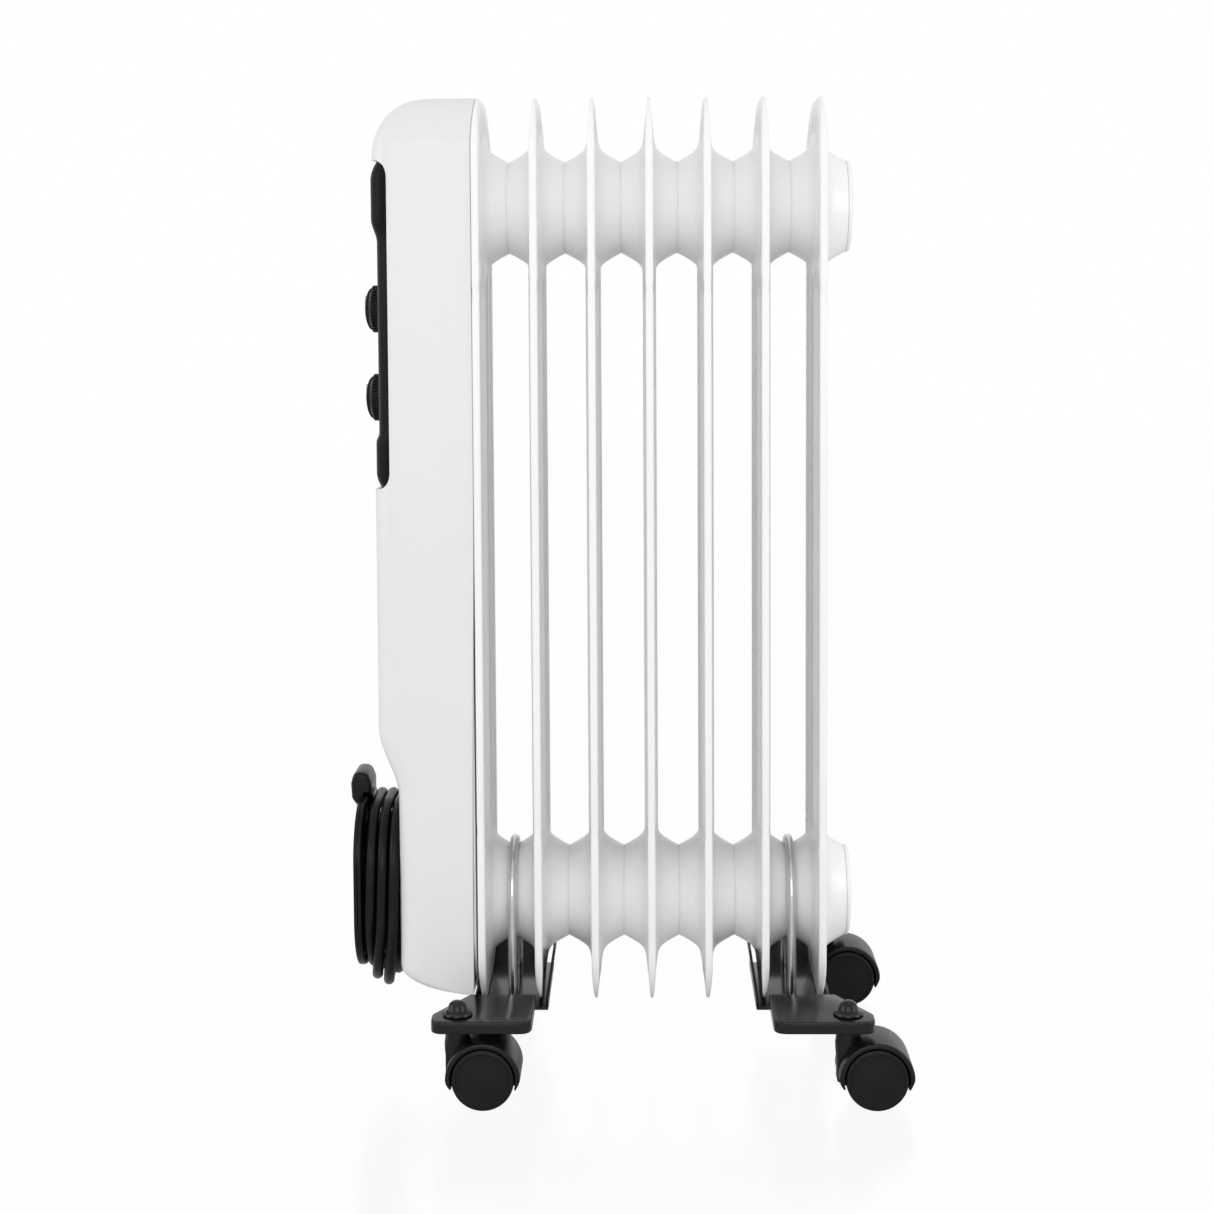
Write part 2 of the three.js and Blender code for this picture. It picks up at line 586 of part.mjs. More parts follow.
// ---------------------------------------------------------------- electrical pieces inside the housing
const FIN_1_FACE_X = finX(1) - FIN_THICKNESS / 2;
const CUTOUT_SEAT_X = FIN_1_FACE_X - RIB_RISE - GAP;
const CUTOUT_DEPTH = 8;
const cutoutBlades = [-1, 1].map((side) => {
  const [near, far] = [5.2 * side, 6 * side].sort((a, b) => a - b);
  return box(CUTOUT_SEAT_X - 14, CUTOUT_SEAT_X - CUTOUT_DEPTH + 1, near, far, CUTOUT_Z - 3, CUTOUT_Z + 3);
});
const cutoutDisc = rodX(CUTOUT_R, CUTOUT_SEAT_X - CUTOUT_DEPTH, CUTOUT_SEAT_X, 0, CUTOUT_Z, 20);
add('thermal_cutout', join(cutoutDisc, ...cutoutBlades), CREAM_PLASTIC);

// A box that stands on the inner side of the back plate.
const MOUNT_X = BACK_PLATE_X - GAP;
const standing = (depth, y0, y1, z0, z1) => box(MOUNT_X - depth, MOUNT_X, y0, y1, z0, z1);

const TIP_SWITCH_Y = -19;
const TIP_SWITCH_Z = 316;
const TIP_SWITCH_DEPTH = 24;
const tipSwitchCase = standing(TIP_SWITCH_DEPTH, TIP_SWITCH_Y - 11, TIP_SWITCH_Y + 11, TIP_SWITCH_Z - 16,
  TIP_SWITCH_Z + 16);
const tipSwitchPivot = rodX(5, MOUNT_X - TIP_SWITCH_DEPTH - 4, MOUNT_X - TIP_SWITCH_DEPTH + 1, TIP_SWITCH_Y,
  TIP_SWITCH_Z - 2, 16);
add('tip_over_switch', join(tipSwitchCase, tipSwitchPivot), BLACK_PLASTIC);

const TERMINAL_Y = [4, 20, 36];
const TERMINAL_TOP_Z = 256;
const TERMINAL_DEPTH = 18;
const terminalHoles = TERMINAL_Y.map((y) => (
  rodZ(2.6, TERMINAL_TOP_Z - 11, TERMINAL_TOP_Z + 1, MOUNT_X - TERMINAL_DEPTH / 2, y, 12)));
const terminals = standing(TERMINAL_DEPTH, TERMINAL_Y[0] - 8, TERMINAL_Y[2] + 8, TERMINAL_TOP_Z - 20,
  TERMINAL_TOP_Z);
add('terminal_block', cut(terminals, ...terminalHoles), CREAM_PLASTIC);

const CLAMP_TOP_Z = 176;
const CLAMP_DEPTH = 12;
const CLAMP_SCREW_Y = [30, 54];
const clampScrews = CLAMP_SCREW_Y.map((y) => (
  rodZ(4, CLAMP_TOP_Z, CLAMP_TOP_Z + 3, MOUNT_X - CLAMP_DEPTH / 2, y, 12)));
const clampBar = standing(CLAMP_DEPTH, CLAMP_SCREW_Y[0] - 4, CLAMP_SCREW_Y[1] + 4, CLAMP_TOP_Z - 8,
  CLAMP_TOP_Z);
add('cord_clamp', join(clampBar, ...clampScrews), BLACK_PLASTIC);

// ---------------------------------------------------------------- mains cord on its winder
const rowX = (row) => FIRST_RUN_X - row * CORD_PITCH;
const runHalf = CORD_PITCH / 2;

// Turns of the cord side by side: a round-cornered ring in (y, z).
function turnRing(x0, x1, halfY, bottomZ, topZ, cornerR) {
  const outline = (grow) => (
    roundedRect(-halfY - grow, halfY + grow, bottomZ - grow, topZ + grow, cornerR + grow));
  const ring = outline(CORD_R);
  ring.holes.push(outline(-CORD_R));
  return extrudeX(ring, x0, x1, 4);
}

const INNER_BOTTOM_Z = COIL_BOTTOM_Z[0] + CORD_PITCH;
const INNER_TOP_Z = COIL_TOP_Z - CORD_PITCH;
const GLAND_TIP_Z = 124;
const outerRows = COIL_BOTTOM_Z.map((bottomZ, row) => (
  turnRing(rowX(row) - runHalf, rowX(row) + runHalf + 0.05, COIL_HALF_Y, bottomZ, COIL_TOP_Z, COIL_CORNER_R)));
const innerRows = turnRing(rowX(2) - runHalf, rowX(0) + runHalf, GLAND_Y, INNER_BOTTOM_Z, INNER_TOP_Z,
  COIL_CORNER_R - CORD_PITCH)
  .subtract(box(rowX(1) - 1, FIRST_RUN_X + 20, 10, GLAND_Y + CORD_R - 0.2, 0, GLAND_TIP_Z + GAP));
const glandRoom = box(rowX(1), FIRST_RUN_X + 20, 30, GLAND_Y + 5.5, GLAND_Z - 14, GLAND_TIP_Z + GAP);

// Gland with its tapered strain relief, pointing up into the first turn.
const GLAND_X = FIRST_RUN_X;
const gland = join(
  turnedZ([[0, GLAND_Z - 6], [4.7, GLAND_Z - 6], [4.7, GLAND_Z + 4], [4.0, GLAND_TIP_Z], [0, GLAND_TIP_Z]],
    GLAND_X, GLAND_Y, 20),
  rodX(GLAND_NECK_R, GLAND_X, HOUSING_LOWER_X + HOUSING_WALL + 1.5, GLAND_Y, GLAND_Z, 20),
);
add('cord_gland', gland, BLACK_PLASTIC);

// Winder: hub wall inside the turns, outer flange with an open middle, and a rounded lug on top.
const HUB_CLEAR = CORD_R + 1.3;
const HUB_WALL = 2.5;
const hubHalfY = GLAND_Y - HUB_CLEAR;
const hubBottom = INNER_BOTTOM_Z + HUB_CLEAR + 5;
const hubTop = INNER_TOP_Z - HUB_CLEAR;
const hubR = COIL_CORNER_R - CORD_PITCH - HUB_CLEAR;
const HUB_FOOT_X = HOUSING_LOWER_X - GAP;
const FLANGE_HALF_Y = COIL_HALF_Y + 4;
const FLANGE_BOTTOM_Z = 65;
const FLANGE_TOP_Z = 179;
const FLANGE_CORNER_R = 38;
const LUG_HALF_Y = 16;
const LUG_TOP_Z = 195;
const hubOutline = (inset) => (
  roundedRect(-hubHalfY + inset, hubHalfY - inset, hubBottom + inset, hubTop - inset, hubR - inset));
const TAIL_SLOT_Z = [107, 136];          // the slot in the hub that lets the cord through to the plug
const BASE_THICKNESS = 2;
const hub = extrudeX(hubOutline(0), FLANGE_OUT_X, HUB_FOOT_X, 5);
const flangeOutline = roundedRect(-FLANGE_HALF_Y, FLANGE_HALF_Y, FLANGE_BOTTOM_Z, FLANGE_TOP_Z,
  FLANGE_CORNER_R);
const flange = extrudeX(flangeOutline, FLANGE_OUT_X, FLANGE_IN_X, 6);
const lugOutline = polygon([
  [FLANGE_IN_X, FLANGE_TOP_Z - 9], [FLANGE_OUT_X, FLANGE_TOP_Z - 9], [LUG_END_X + 1.4, LUG_TOP_Z - 17],
  [LUG_END_X, LUG_TOP_Z - 10], [LUG_END_X + 1, LUG_TOP_Z - 4], [LUG_END_X + 4.5, LUG_TOP_Z],
  [LUG_END_X + 10, LUG_TOP_Z - 1.2], [LUG_END_X + 13.5, LUG_TOP_Z - 7], [LUG_END_X + 13.8, LUG_TOP_Z - 14],
  [FLANGE_IN_X, FLANGE_TOP_Z - 0.5],
]);
const winder = join(hub, flange, extrudeY(lugOutline, -LUG_HALF_Y, LUG_HALF_Y))
  .subtract(extrudeX(hubOutline(HUB_WALL), FLANGE_OUT_X - 1, HUB_FOOT_X - BASE_THICKNESS, 5))
  .subtract(box(rowX(2) - runHalf - 0.4, rowX(1), hubHalfY - 8, hubHalfY + 2, ...TAIL_SLOT_Z))
  .subtract(box(GLAND_X - 6, HUB_FOOT_X + 1, GLAND_Y - GLAND_NECK_R - GAP, GLAND_Y + 8, GLAND_Z - 7,
    GLAND_Z + 6));
const SOCKET_END_X = HUB_FOOT_X + PIN_LENGTH + 1;
const sockets = socketPlaces.map((z) => rodX(SOCKET_WALL_R, HUB_FOOT_X - 1, SOCKET_END_X, PLUG_Y, z, 12));
const BORE_START_X = HUB_FOOT_X - BASE_THICKNESS - 1;
const socketBores = socketPlaces.map((z) => (
  rodX(SOCKET_PIN_R + GAP, BORE_START_X, SOCKET_END_X - 1.5, PLUG_Y, z, 12)));
add('cord_winder', cut(join(winder, ...sockets), ...socketBores), BLACK_PLASTIC);

// Plug with its side cord entry, parked by its pins in two holes of the winder's base.
const PLUG_R = 18.5;
const PLUG_BACK_X = HUB_FOOT_X - BASE_THICKNESS - GAP;
const PLUG_DEPTH = 25.5;
const PLUG_FRONT_X = PLUG_BACK_X - PLUG_DEPTH;
const PLUG_CORD_X = rowX(2);
const TAIL_R = 30;
const TAIL_END_Z = PLUG_Z + 14;
const RELIEF_LENGTH = 22;
const RELIEF_END_Y = GLAND_Y - TAIL_R;
const plugProfile = [
  [0, PLUG_FRONT_X], [PLUG_R - 5, PLUG_FRONT_X], [PLUG_R - 1.5, PLUG_FRONT_X + 3], [PLUG_R, PLUG_FRONT_X + 8],
  [PLUG_R, PLUG_BACK_X], [0, PLUG_BACK_X],
];
const plugShell = turnedX(plugProfile, PLUG_Y, PLUG_Z, 20);
const relief = new THREE.CylinderGeometry(4.1, 5.4, RELIEF_LENGTH, 10)
  .translate(PLUG_CORD_X, RELIEF_END_Y - RELIEF_LENGTH / 2, TAIL_END_Z);
const plugPins = socketPlaces.map((z) => (
  rodX(SOCKET_PIN_R, PLUG_BACK_X - 1, PLUG_BACK_X + PIN_LENGTH, PLUG_Y, z, 8)));
add('plug', join(plugShell, solid(relief), ...plugPins), BLACK_PLASTIC);

// The cord's last stretch, from the end of the last turn through the hub's slot to the plug.
function tailPath(from, to) {
  const steps = 10;
  return Array.from({ length: steps + 1 }, (_, i) => {
    const t = from + ((to - from) * i) / steps;
    const angle = (Math.PI / 2) * t;
    return new THREE.Vector3(
      PLUG_CORD_X,
      RELIEF_END_Y + TAIL_R * Math.cos(angle),
      TAIL_END_Z - TAIL_R + TAIL_R * Math.sin(angle),
    );
  });
}
add('cord_tail', tubeThrough(tailPath(0.01, 0.99), CORD_R, 10), CORD_BLACK);
const tailRoom = tubeThrough(tailPath(0, 1.1), CORD_R + GAP, 10);
add('cord_coil', join(...outerRows, innerRows).subtract(glandRoom).subtract(tailRoom), CORD_BLACK);

// ---------------------------------------------------------------- feet
// One foot under a fin pair. side is -1 for the foot at the housing and 1 for the other one.
const TROUGH_HALF_Y = 50;
const RAMP_END_Y = 64;
const INBOARD = 24.4;                  // from the middle of the fin pair, towards the radiator's middle
const OUTBOARD = 24.6;
const EAR_X = 141.5;
const PLATE_INNER_X = 77;
const FOOT_FLANGE_Z = 81;              // top of the sheet folded up on the inboard side
const FOOT_EDGE_Z = 51;                // top of the low edge on the outboard side

// The plate of one ear, in (x, y): end is -1 for the ear at the front and 1 for the one at the rear.
function earOutline(side, end, inset) {
  const r = 9 - inset;
  const inner = PLATE_INNER_X + inset;
  const outer = EAR_X - inset;
  const near = FOOT_END_Y - inset;
  const shape = new THREE.Shape();
  const at = (x, y) => [side * x, end * y];
  const arcFrom = (cx, cy, startAngle) => {
    const steps = 4;
    for (let i = 0; i <= steps; i += 1) {
      const angle = startAngle - (Math.PI / 2) * (i / steps);
      shape.lineTo(...at(cx + r * Math.cos(angle), cy + r * Math.sin(angle)));
    }
  };
  shape.moveTo(...at(inner, RAMP_END_Y - 6));
  arcFrom(inner + r, near - r, Math.PI);
  arcFrom(outer - r, near - r, Math.PI / 2);
  shape.lineTo(...at(outer, 84 + inset));
  shape.lineTo(...at(FOOT_X + OUTBOARD + 8 - inset, RAMP_END_Y - 6 + inset / 2));
  shape.lineTo(...at(FOOT_X + OUTBOARD, RAMP_END_Y - 6));
  return shape;
}

function footSolid(side) {
  const span = (from, to) => (side > 0 ? [from, to] : [-to, -from]);
  const [floorFrom, floorTo] = span(FOOT_X - INBOARD, FOOT_X + OUTBOARD);
  const [rampFrom, rampTo] = span(PLATE_INNER_X, FOOT_X + OUTBOARD);
  const under = FOOT_FLOOR_Z - FOOT_SHEET;
  let foot = box(floorFrom, floorTo, -TROUGH_HALF_Y - 0.5, TROUGH_HALF_Y + 0.5, under, FOOT_FLOOR_Z);
  const plateUnder = FOOT_PLATE_Z - FOOT_SHEET;
  for (const end of [-1, 1]) {
    const plate = extrudeZ(earOutline(side, end, 0), FOOT_PLATE_Z - FOOT_LIP, FOOT_PLATE_Z)
      .subtract(extrudeZ(earOutline(side, end, FOOT_SHEET), FOOT_PLATE_Z - FOOT_LIP - 1, plateUnder))
      .subtract(box(-EAR_X, EAR_X, -RAMP_END_Y, RAMP_END_Y, 0, FOOT_PLATE_Z + 1))
      .subtract(rodZ(STEM_R + GAP, plateUnder - 1, FOOT_PLATE_Z + 1, side * CASTER_X, end * CASTER_Y, 12));
    const ramp = polygon([[TROUGH_HALF_Y, under], [RAMP_END_Y, plateUnder - 0.4], [RAMP_END_Y, FOOT_PLATE_Z],
      [TROUGH_HALF_Y, FOOT_FLOOR_Z]].map(([y, z]) => [end * y, z]));
    foot = join(foot, plate, extrudeX(ramp, rampFrom, rampTo));
  }
  const inboardX = FOOT_X - INBOARD;
  const flangeProfile = [
    [inboardX, under], [inboardX + FOOT_SHEET, under], [inboardX + FOOT_SHEET, FOOT_FLOOR_Z + 4],
    [inboardX - 3.2, FOOT_FLANGE_Z], [inboardX - 5, FOOT_FLANGE_Z], [inboardX, FOOT_FLOOR_Z + 4],
  ];
  const flange = polygon(flangeProfile.map(([x, z]) => [side * x, z]));
  const sideHalfY = TROUGH_HALF_Y - 4;
  foot = foot.add(extrudeY(flange, -sideHalfY, sideHalfY));
  const [edgeFrom, edgeTo] = span(FOOT_X + OUTBOARD - FOOT_SHEET, FOOT_X + OUTBOARD);
  foot = foot.add(box(edgeFrom, edgeTo, -sideHalfY, sideHalfY, FOOT_FLOOR_Z - 1, FOOT_EDGE_Z));
  for (const y of [-U_BOLT_BEND_R, U_BOLT_BEND_R]) {
    foot = foot.subtract(rodZ(U_BOLT_R + GAP, under - 1, FOOT_FLOOR_Z + 1, side * FOOT_X, y, 12));
  }
  const collarRoom = rodX(COLLAR_R + 3, -200, 200, 0, LOWER_Z);
  return foot.subtract(collarRoom);
}

// A U-bolt over the neck between two fins, with its threaded legs through the foot.
const U_BOLT_END_Z = 30;
function uBolt(x) {
  const path = [new THREE.Vector3(x, -U_BOLT_BEND_R, U_BOLT_END_Z)];
  const steps = 12;
  for (let i = 0; i <= steps; i += 1) {
    const angle = Math.PI - (Math.PI * i) / steps;
    const [y, z] = [U_BOLT_BEND_R * Math.cos(angle), LOWER_Z + U_BOLT_BEND_R * Math.sin(angle)];
    path.push(new THREE.Vector3(x, y, z));
  }
  path.push(new THREE.Vector3(x, U_BOLT_BEND_R, U_BOLT_END_Z));
  return tubeThrough(path, U_BOLT_R, 8);
}

function wingNut(x, y) {
  const top = FOOT_FLOOR_Z - FOOT_SHEET - GAP;
  const wings = box(x - 11, x + 11, y - 1, y + 1, top - 10, top - 2);
  return join(rodZ(5.5, top - 6, top, x, y, 8), wings)
    .subtract(rodZ(U_BOLT_R + GAP, top - 12, top + 1, x, y, 8));
}

const SIDES = [['left', -1], ['right', 1]];
for (const [label, side] of SIDES) {
  add(`foot_${label}`, footSolid(side), BLACK_STEEL);
  add(`u_bolt_${label}`, uBolt(side * FOOT_X), BLACK_STEEL);
  add(`wing_nut_${label}_front`, wingNut(side * FOOT_X, -U_BOLT_BEND_R), ZINC);
  add(`wing_nut_${label}_rear`, wingNut(side * FOOT_X, U_BOLT_BEND_R), ZINC);
}

// ---------------------------------------------------------------- casters
const HOOD_START = -0.3;               // angles of the hood's rim ends, in radians
const HOOD_END = Math.PI + 0.28;
const NECK_TOP_Z = FOOT_PLATE_Z - FOOT_SHEET - 1.2;
const STEM_BOTTOM_Z = 24;
const AXLE_R = 2.5;
const WHEEL_GAP = 0.5;

function hoodSolid(stemX, y) {
  const wheelX = stemX + CASTER_TRAIL;
  const rim = new THREE.Shape();
  rim.absarc(wheelX, AXLE_Z, HOOD_R, HOOD_START, HOOD_END, false);
  rim.absarc(wheelX, AXLE_Z, HOOD_INNER_R, HOOD_END, HOOD_START, true);
  const web = new THREE.Shape();
  web.absarc(wheelX, AXLE_Z, HOOD_R - 1, HOOD_START, HOOD_END, false);
  web.lineTo(wheelX - 8, 6);
  web.lineTo(wheelX + 8, 6);
  const socket = box(stemX - 7.5, stemX + 6, y - WEB_HALF, y + WEB_HALF, 16, 40);
  const neck = turnedZ([[0, 38], [8.6, 38], [7.6, 44], [7.6, NECK_TOP_Z], [0, NECK_TOP_Z]], stemX, y, 12);
  return join(extrudeY(rim, y - CASTER_HALF_WIDTH, y + CASTER_HALF_WIDTH, 9),
    extrudeY(web, y - WEB_HALF, y + WEB_HALF, 9), socket, neck)
    .subtract(rodZ(STEM_R + GAP, STEM_BOTTOM_Z - GAP, 60, stemX, y, 8))
    .subtract(rodY(AXLE_R + GAP, y - WEB_HALF - 1, y + WEB_HALF + 1, wheelX, AXLE_Z, 8));
}

function wheelSolid(wheelX, y, outward) {
  const flatDown = Math.PI / WHEEL_SIDES;
  const inner = y + outward * (WEB_HALF + WHEEL_GAP);
  const outer = y + outward * (CASTER_HALF_WIDTH + 0.2);
  const [low, high] = [inner, outer].sort((a, b) => a - b);
  const tread = rodY(WHEEL_R, low, high, wheelX, AXLE_Z, WHEEL_SIDES, flatDown);
  const bore = [inner - outward, outer - 3 * outward].sort((a, b) => a - b);
  return tread.subtract(rodY(AXLE_R + GAP, ...bore, wheelX, AXLE_Z, 8));
}

const CASTERS = SIDES.flatMap(([label, side]) => [
  [`${label}_front`, side * CASTER_X, -CASTER_Y],
  [`${label}_rear`, side * CASTER_X, CASTER_Y],
]);
for (const [label, stemX, y] of CASTERS) {
  const wheelX = stemX + CASTER_TRAIL;
  const plateTop = FOOT_PLATE_Z + GAP;
  const pinProfile = [
    [0, STEM_BOTTOM_Z], [STEM_R, STEM_BOTTOM_Z], [STEM_R, plateTop], [9.6, plateTop], [9.2, plateTop + 1.4],
    [6.6, plateTop + 2.2], [5.6, plateTop + 6.5], [3.2, plateTop + 8.6], [0, plateTop + 9],
  ];
  add(`caster_pin_${label}`, turnedZ(pinProfile, stemX, y, 12), BLACK_STEEL);
  add(`caster_hood_${label}`, hoodSolid(stemX, y), BLACK_PLASTIC);
  const axleReach = CASTER_HALF_WIDTH - 3.4;
  add(`caster_axle_${label}`, rodY(AXLE_R, y - axleReach, y + axleReach, wheelX, AXLE_Z, 8), ZINC);
  add(`wheel_${label}_a`, wheelSolid(wheelX, y, -1), WHEEL_GREY);
  add(`wheel_${label}_b`, wheelSolid(wheelX, y, 1), WHEEL_GREY);
}

export default group;
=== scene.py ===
"""Oil filled radiator heater: the looks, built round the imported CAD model.

Everything is in metres, in the CAD frame: +Z up, the row of fins along X, the control housing at -X and the
side shown first facing -Y. Lengths below are written in millimetres times MM.
"""
import json
import math

import bmesh
import bpy
from mathutils import Matrix, Vector

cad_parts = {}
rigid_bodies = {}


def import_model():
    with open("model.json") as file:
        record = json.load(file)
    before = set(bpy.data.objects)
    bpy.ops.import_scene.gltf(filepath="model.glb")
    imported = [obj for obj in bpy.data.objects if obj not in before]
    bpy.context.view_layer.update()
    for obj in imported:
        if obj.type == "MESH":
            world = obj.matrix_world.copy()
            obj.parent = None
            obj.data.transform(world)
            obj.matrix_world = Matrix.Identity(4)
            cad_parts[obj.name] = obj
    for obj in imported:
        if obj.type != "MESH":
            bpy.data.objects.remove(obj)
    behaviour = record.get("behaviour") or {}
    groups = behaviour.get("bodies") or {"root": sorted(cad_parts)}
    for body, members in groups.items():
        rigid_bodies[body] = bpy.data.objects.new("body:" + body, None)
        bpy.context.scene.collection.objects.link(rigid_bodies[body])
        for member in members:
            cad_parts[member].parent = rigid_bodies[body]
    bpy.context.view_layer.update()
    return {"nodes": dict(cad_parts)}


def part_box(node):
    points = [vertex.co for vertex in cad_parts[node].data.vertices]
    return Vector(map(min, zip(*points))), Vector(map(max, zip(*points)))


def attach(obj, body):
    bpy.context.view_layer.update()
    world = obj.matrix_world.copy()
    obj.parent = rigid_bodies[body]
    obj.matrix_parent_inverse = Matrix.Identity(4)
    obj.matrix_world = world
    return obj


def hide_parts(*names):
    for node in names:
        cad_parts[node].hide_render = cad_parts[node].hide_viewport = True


for leftover in list(bpy.data.objects):
    bpy.data.objects.remove(leftover)
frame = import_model()
scene = bpy.context.scene

# ---------------------------------------------------------------- driving dimensions
MM = 0.001
NODE = frame["nodes"]
FIN_LOW, FIN_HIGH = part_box("fin_4")
SHIFT = (FIN_LOW.x + FIN_HIGH.x) / 2           # the middle fin's place along X
FIN_COUNT = 7
FIN_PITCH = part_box("fin_5")[0].x - FIN_LOW.x
FIN_HALF_Y = FIN_HIGH.y
FIN_BOTTOM = FIN_LOW.z
FIN_TOP = FIN_HIGH.z
FIN_CORNER_R = 38 * MM
COLLAR_Z = [sum(c.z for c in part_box(n)) / 2 for n in ("lower_end_cap", "upper_end_cap")]
NECK_R = (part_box("upper_end_cap")[1].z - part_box("upper_end_cap")[0].z) / 2
RIB_Y = [-34 * MM, 0.0, 34 * MM]

HOUSING_LOW, HOUSING_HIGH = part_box("housing_cover")
HOUSING_BACK = HOUSING_HIGH.x
HOUSING_FACE = HOUSING_LOW.x                   # outer face above the cord winder
HOUSING_LOWER = HOUSING_FACE + 12.8 * MM       # outer face behind the cord winder
HOUSING_BOTTOM = HOUSING_LOW.z
WALL = 2.5 * MM
PANEL_BACK = HOUSING_FACE + 10.4 * MM
KNOB_Z = {name: sum(c.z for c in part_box(name)) / 2 for name in ("thermostat_knob", "selector_knob")}
KNOB_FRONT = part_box("thermostat_knob")[0].x
KNOB_R = (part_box("thermostat_knob")[1].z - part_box("thermostat_knob")[0].z) / 2

CORD_D = 7.4 * MM
CORD_R = CORD_D / 2
CORD_PITCH = 7.7 * MM
ROW_A = HOUSING_FACE + 7.7 * MM                # the turns nearest to the housing

SIDES = {"left": -1, "right": 1}
ENDS = ("front", "rear")


# ---------------------------------------------------------------- camera, at the photograph's angle
def add_camera():
    """A slightly raised camera looking down a little, with the picture's centre below the optical axis."""
    yaw, pitch, roll = 0.0165, 0.0736, -0.0055
    ahead = Vector((-math.sin(yaw) * math.cos(pitch), math.cos(yaw) * math.cos(pitch), -math.sin(pitch)))
    level = Vector((math.cos(yaw), math.sin(yaw), 0))
    above = level.cross(ahead)
    right = level * math.cos(roll) + above * math.sin(roll)
    up = above * math.cos(roll) - level * math.sin(roll)
    data = bpy.data.cameras.new("camera")
    data.sensor_width = 36
    data.lens = 64.87
    data.shift_y = -0.1221
    data.clip_end = 50
    camera = bpy.data.objects.new("camera", data)
    scene.collection.objects.link(camera)
    matrix = Matrix((right, up, -ahead)).transposed().to_4x4()
    matrix.translation = (SHIFT - 4.64 * MM, -1476.8 * MM, 515.5 * MM)
    camera.matrix_world = matrix
    scene.camera = camera


# ---------------------------------------------------------------- mesh helpers
def smoothstep(low, high, value):
    t = min(max((value - low) / (high - low), 0.0), 1.0)
    return t * t * (3 - 2 * t)


def mix(a, b, t):
    return a + (b - a) * t


def table(pairs, value):
    """The height at a value, on straight lines between (place, height) pairs and flat beyond the ends."""
    if value <= pairs[0][0]:
        return pairs[0][1]
    for (x0, y0), (x1, y1) in zip(pairs, pairs[1:]):
        if value <= x1:
            return mix(y0, y1, (value - x0) / (x1 - x0))
    return pairs[-1][1]


def skin(rings, loop=False, caps=True):
    """A shell (vertices, faces) over rings of equally many points; loop joins the last ring to the first."""
    count = len(rings[0])
    verts = [Vector(p) for ring in rings for p in ring]
    faces = []
    bands = len(rings) if loop else len(rings) - 1
    for band in range(bands):
        a, b = band * count, (band + 1) % len(rings) * count
        for i in range(count):
            j = (i + 1) % count
            faces.append((a + i, a + j, b + j, b + i))
    if caps and not loop:
        faces.append(tuple(range(count))[::-1])
        faces.append(tuple((len(rings) - 1) * count + i for i in range(count)))
    return verts, faces


def turned(profile, centre, axis, segments=48):
    """A body of revolution; profile holds (radius, distance along the axis) pairs, from axis to axis."""
    axis = Vector(axis).normalized()
    side = axis.orthogonal().normalized()
    other = axis.cross(side)
    rings = []
    for radius, along in profile:
        middle = Vector(centre) + axis * along
        rings.append([middle + (side * math.cos(a) + other * math.sin(a)) * max(radius, 0)
                      for a in (math.tau * i / segments for i in range(segments))])
    return skin(rings, caps=False)


def rod(radius, start, end):
    """The profile of a plain cylinder."""
    return [(0, start), (radius, start), (radius, end), (0, end)]


def rectangle(low_a, low_b, high_a, high_b):
    return [(low_a, low_b), (high_a, low_b), (high_a, high_b), (low_a, high_b)]


def rounded(points, radius, closed=True, steps=5):
    """The 2-D outline with its corners replaced by arcs. radius is one number, or one for each corner."""
    made = []
    count = len(points)
    for i, point in enumerate(points):
        r = radius if isinstance(radius, (int, float)) else radius[i]
        here = Vector(point)
        if r <= 0 or (not closed and i in (0, count - 1)):
            made.append(here)
            continue
        before, after = Vector(points[i - 1]) - here, Vector(points[(i + 1) % count]) - here
        angle = before.angle(after, math.pi)
        if angle > math.pi - 0.02:
            made.append(here)
            continue
        reach = min(r / math.tan(angle / 2), before.length * 0.49, after.length * 0.49)
        start, end = here + before.normalized() * reach, here + after.normalized() * reach
        for k in range(steps + 1):
            t = k / steps
            made.append((start * (1 - t) + here * t) * (1 - t) + (here * (1 - t) + end * t) * t)
    return made


def inset(outline, amount):
    """The closed 2-D outline moved inwards along its corners' bisectors."""
    area = sum(a.x * b.y - b.x * a.y for a, b in zip(outline, outline[1:] + outline[:1]))
    turn = 1 if area > 0 else -1
    made = []
    for i, here in enumerate(outline):
        before = (here - outline[i - 1]).normalized()
        after = (outline[(i + 1) % len(outline)] - here).normalized()
        normal = Vector((-(before.y + after.y), before.x + after.x)) * turn
        normal.normalize()
        square = max(math.cos(before.angle(after, 0) / 2), 0.5)
        made.append(here + normal * amount / square)
    return made


PLANES = {
    "x": lambda a, b, h: Vector((h, a, b)),    # outline in (y, z), extruded along X
    "y": lambda a, b, h: Vector((a, h, b)),    # outline in (x, z), extruded along Y
    "z": lambda a, b, h: Vector((a, b, h)),    # outline in (x, y), extruded along Z
}


def prism(outline, plane, low, high, edge=0.8 * MM, steps=3):
    """An extruded 2-D outline with rounded edges."""
    place = PLANES[plane]
    outline = [Vector(p) for p in outline]
    levels = []
    for k in range(steps + 1):
        a = math.pi / 2 * k / steps
        levels.append((edge * (1 - math.sin(a)), low + edge * (1 - math.cos(a))))
    levels += [(amount, low + high - h) for amount, h in reversed(levels)]
    return skin([[place(p.x, p.y, h) for p in inset(outline, amount)] for amount, h in levels])


def hollow(outer, inner, plane, low, high, edge=0.6 * MM):
    """A tube between two outlines with equally many points, with rounded edges."""
    place = PLANES[plane]
    outer = [Vector(p) for p in outer]
    inner = [Vector(p) for p in inner]
    rings = []
    for outline, sign, heights in ((outer, 1, (low, high)), (inner, -1, (high, low))):
        near, far = heights
        step = edge if far > near else -edge
        for amount, h in ((edge, near), (edge * 0.3, near + step * 0.3), (0, near + step),
                          (0, far - step), (edge * 0.3, far - step * 0.3), (edge, far)):
            rings.append([place(p.x, p.y, h) for p in inset(outline, sign * amount)])
    return skin(rings, loop=True)


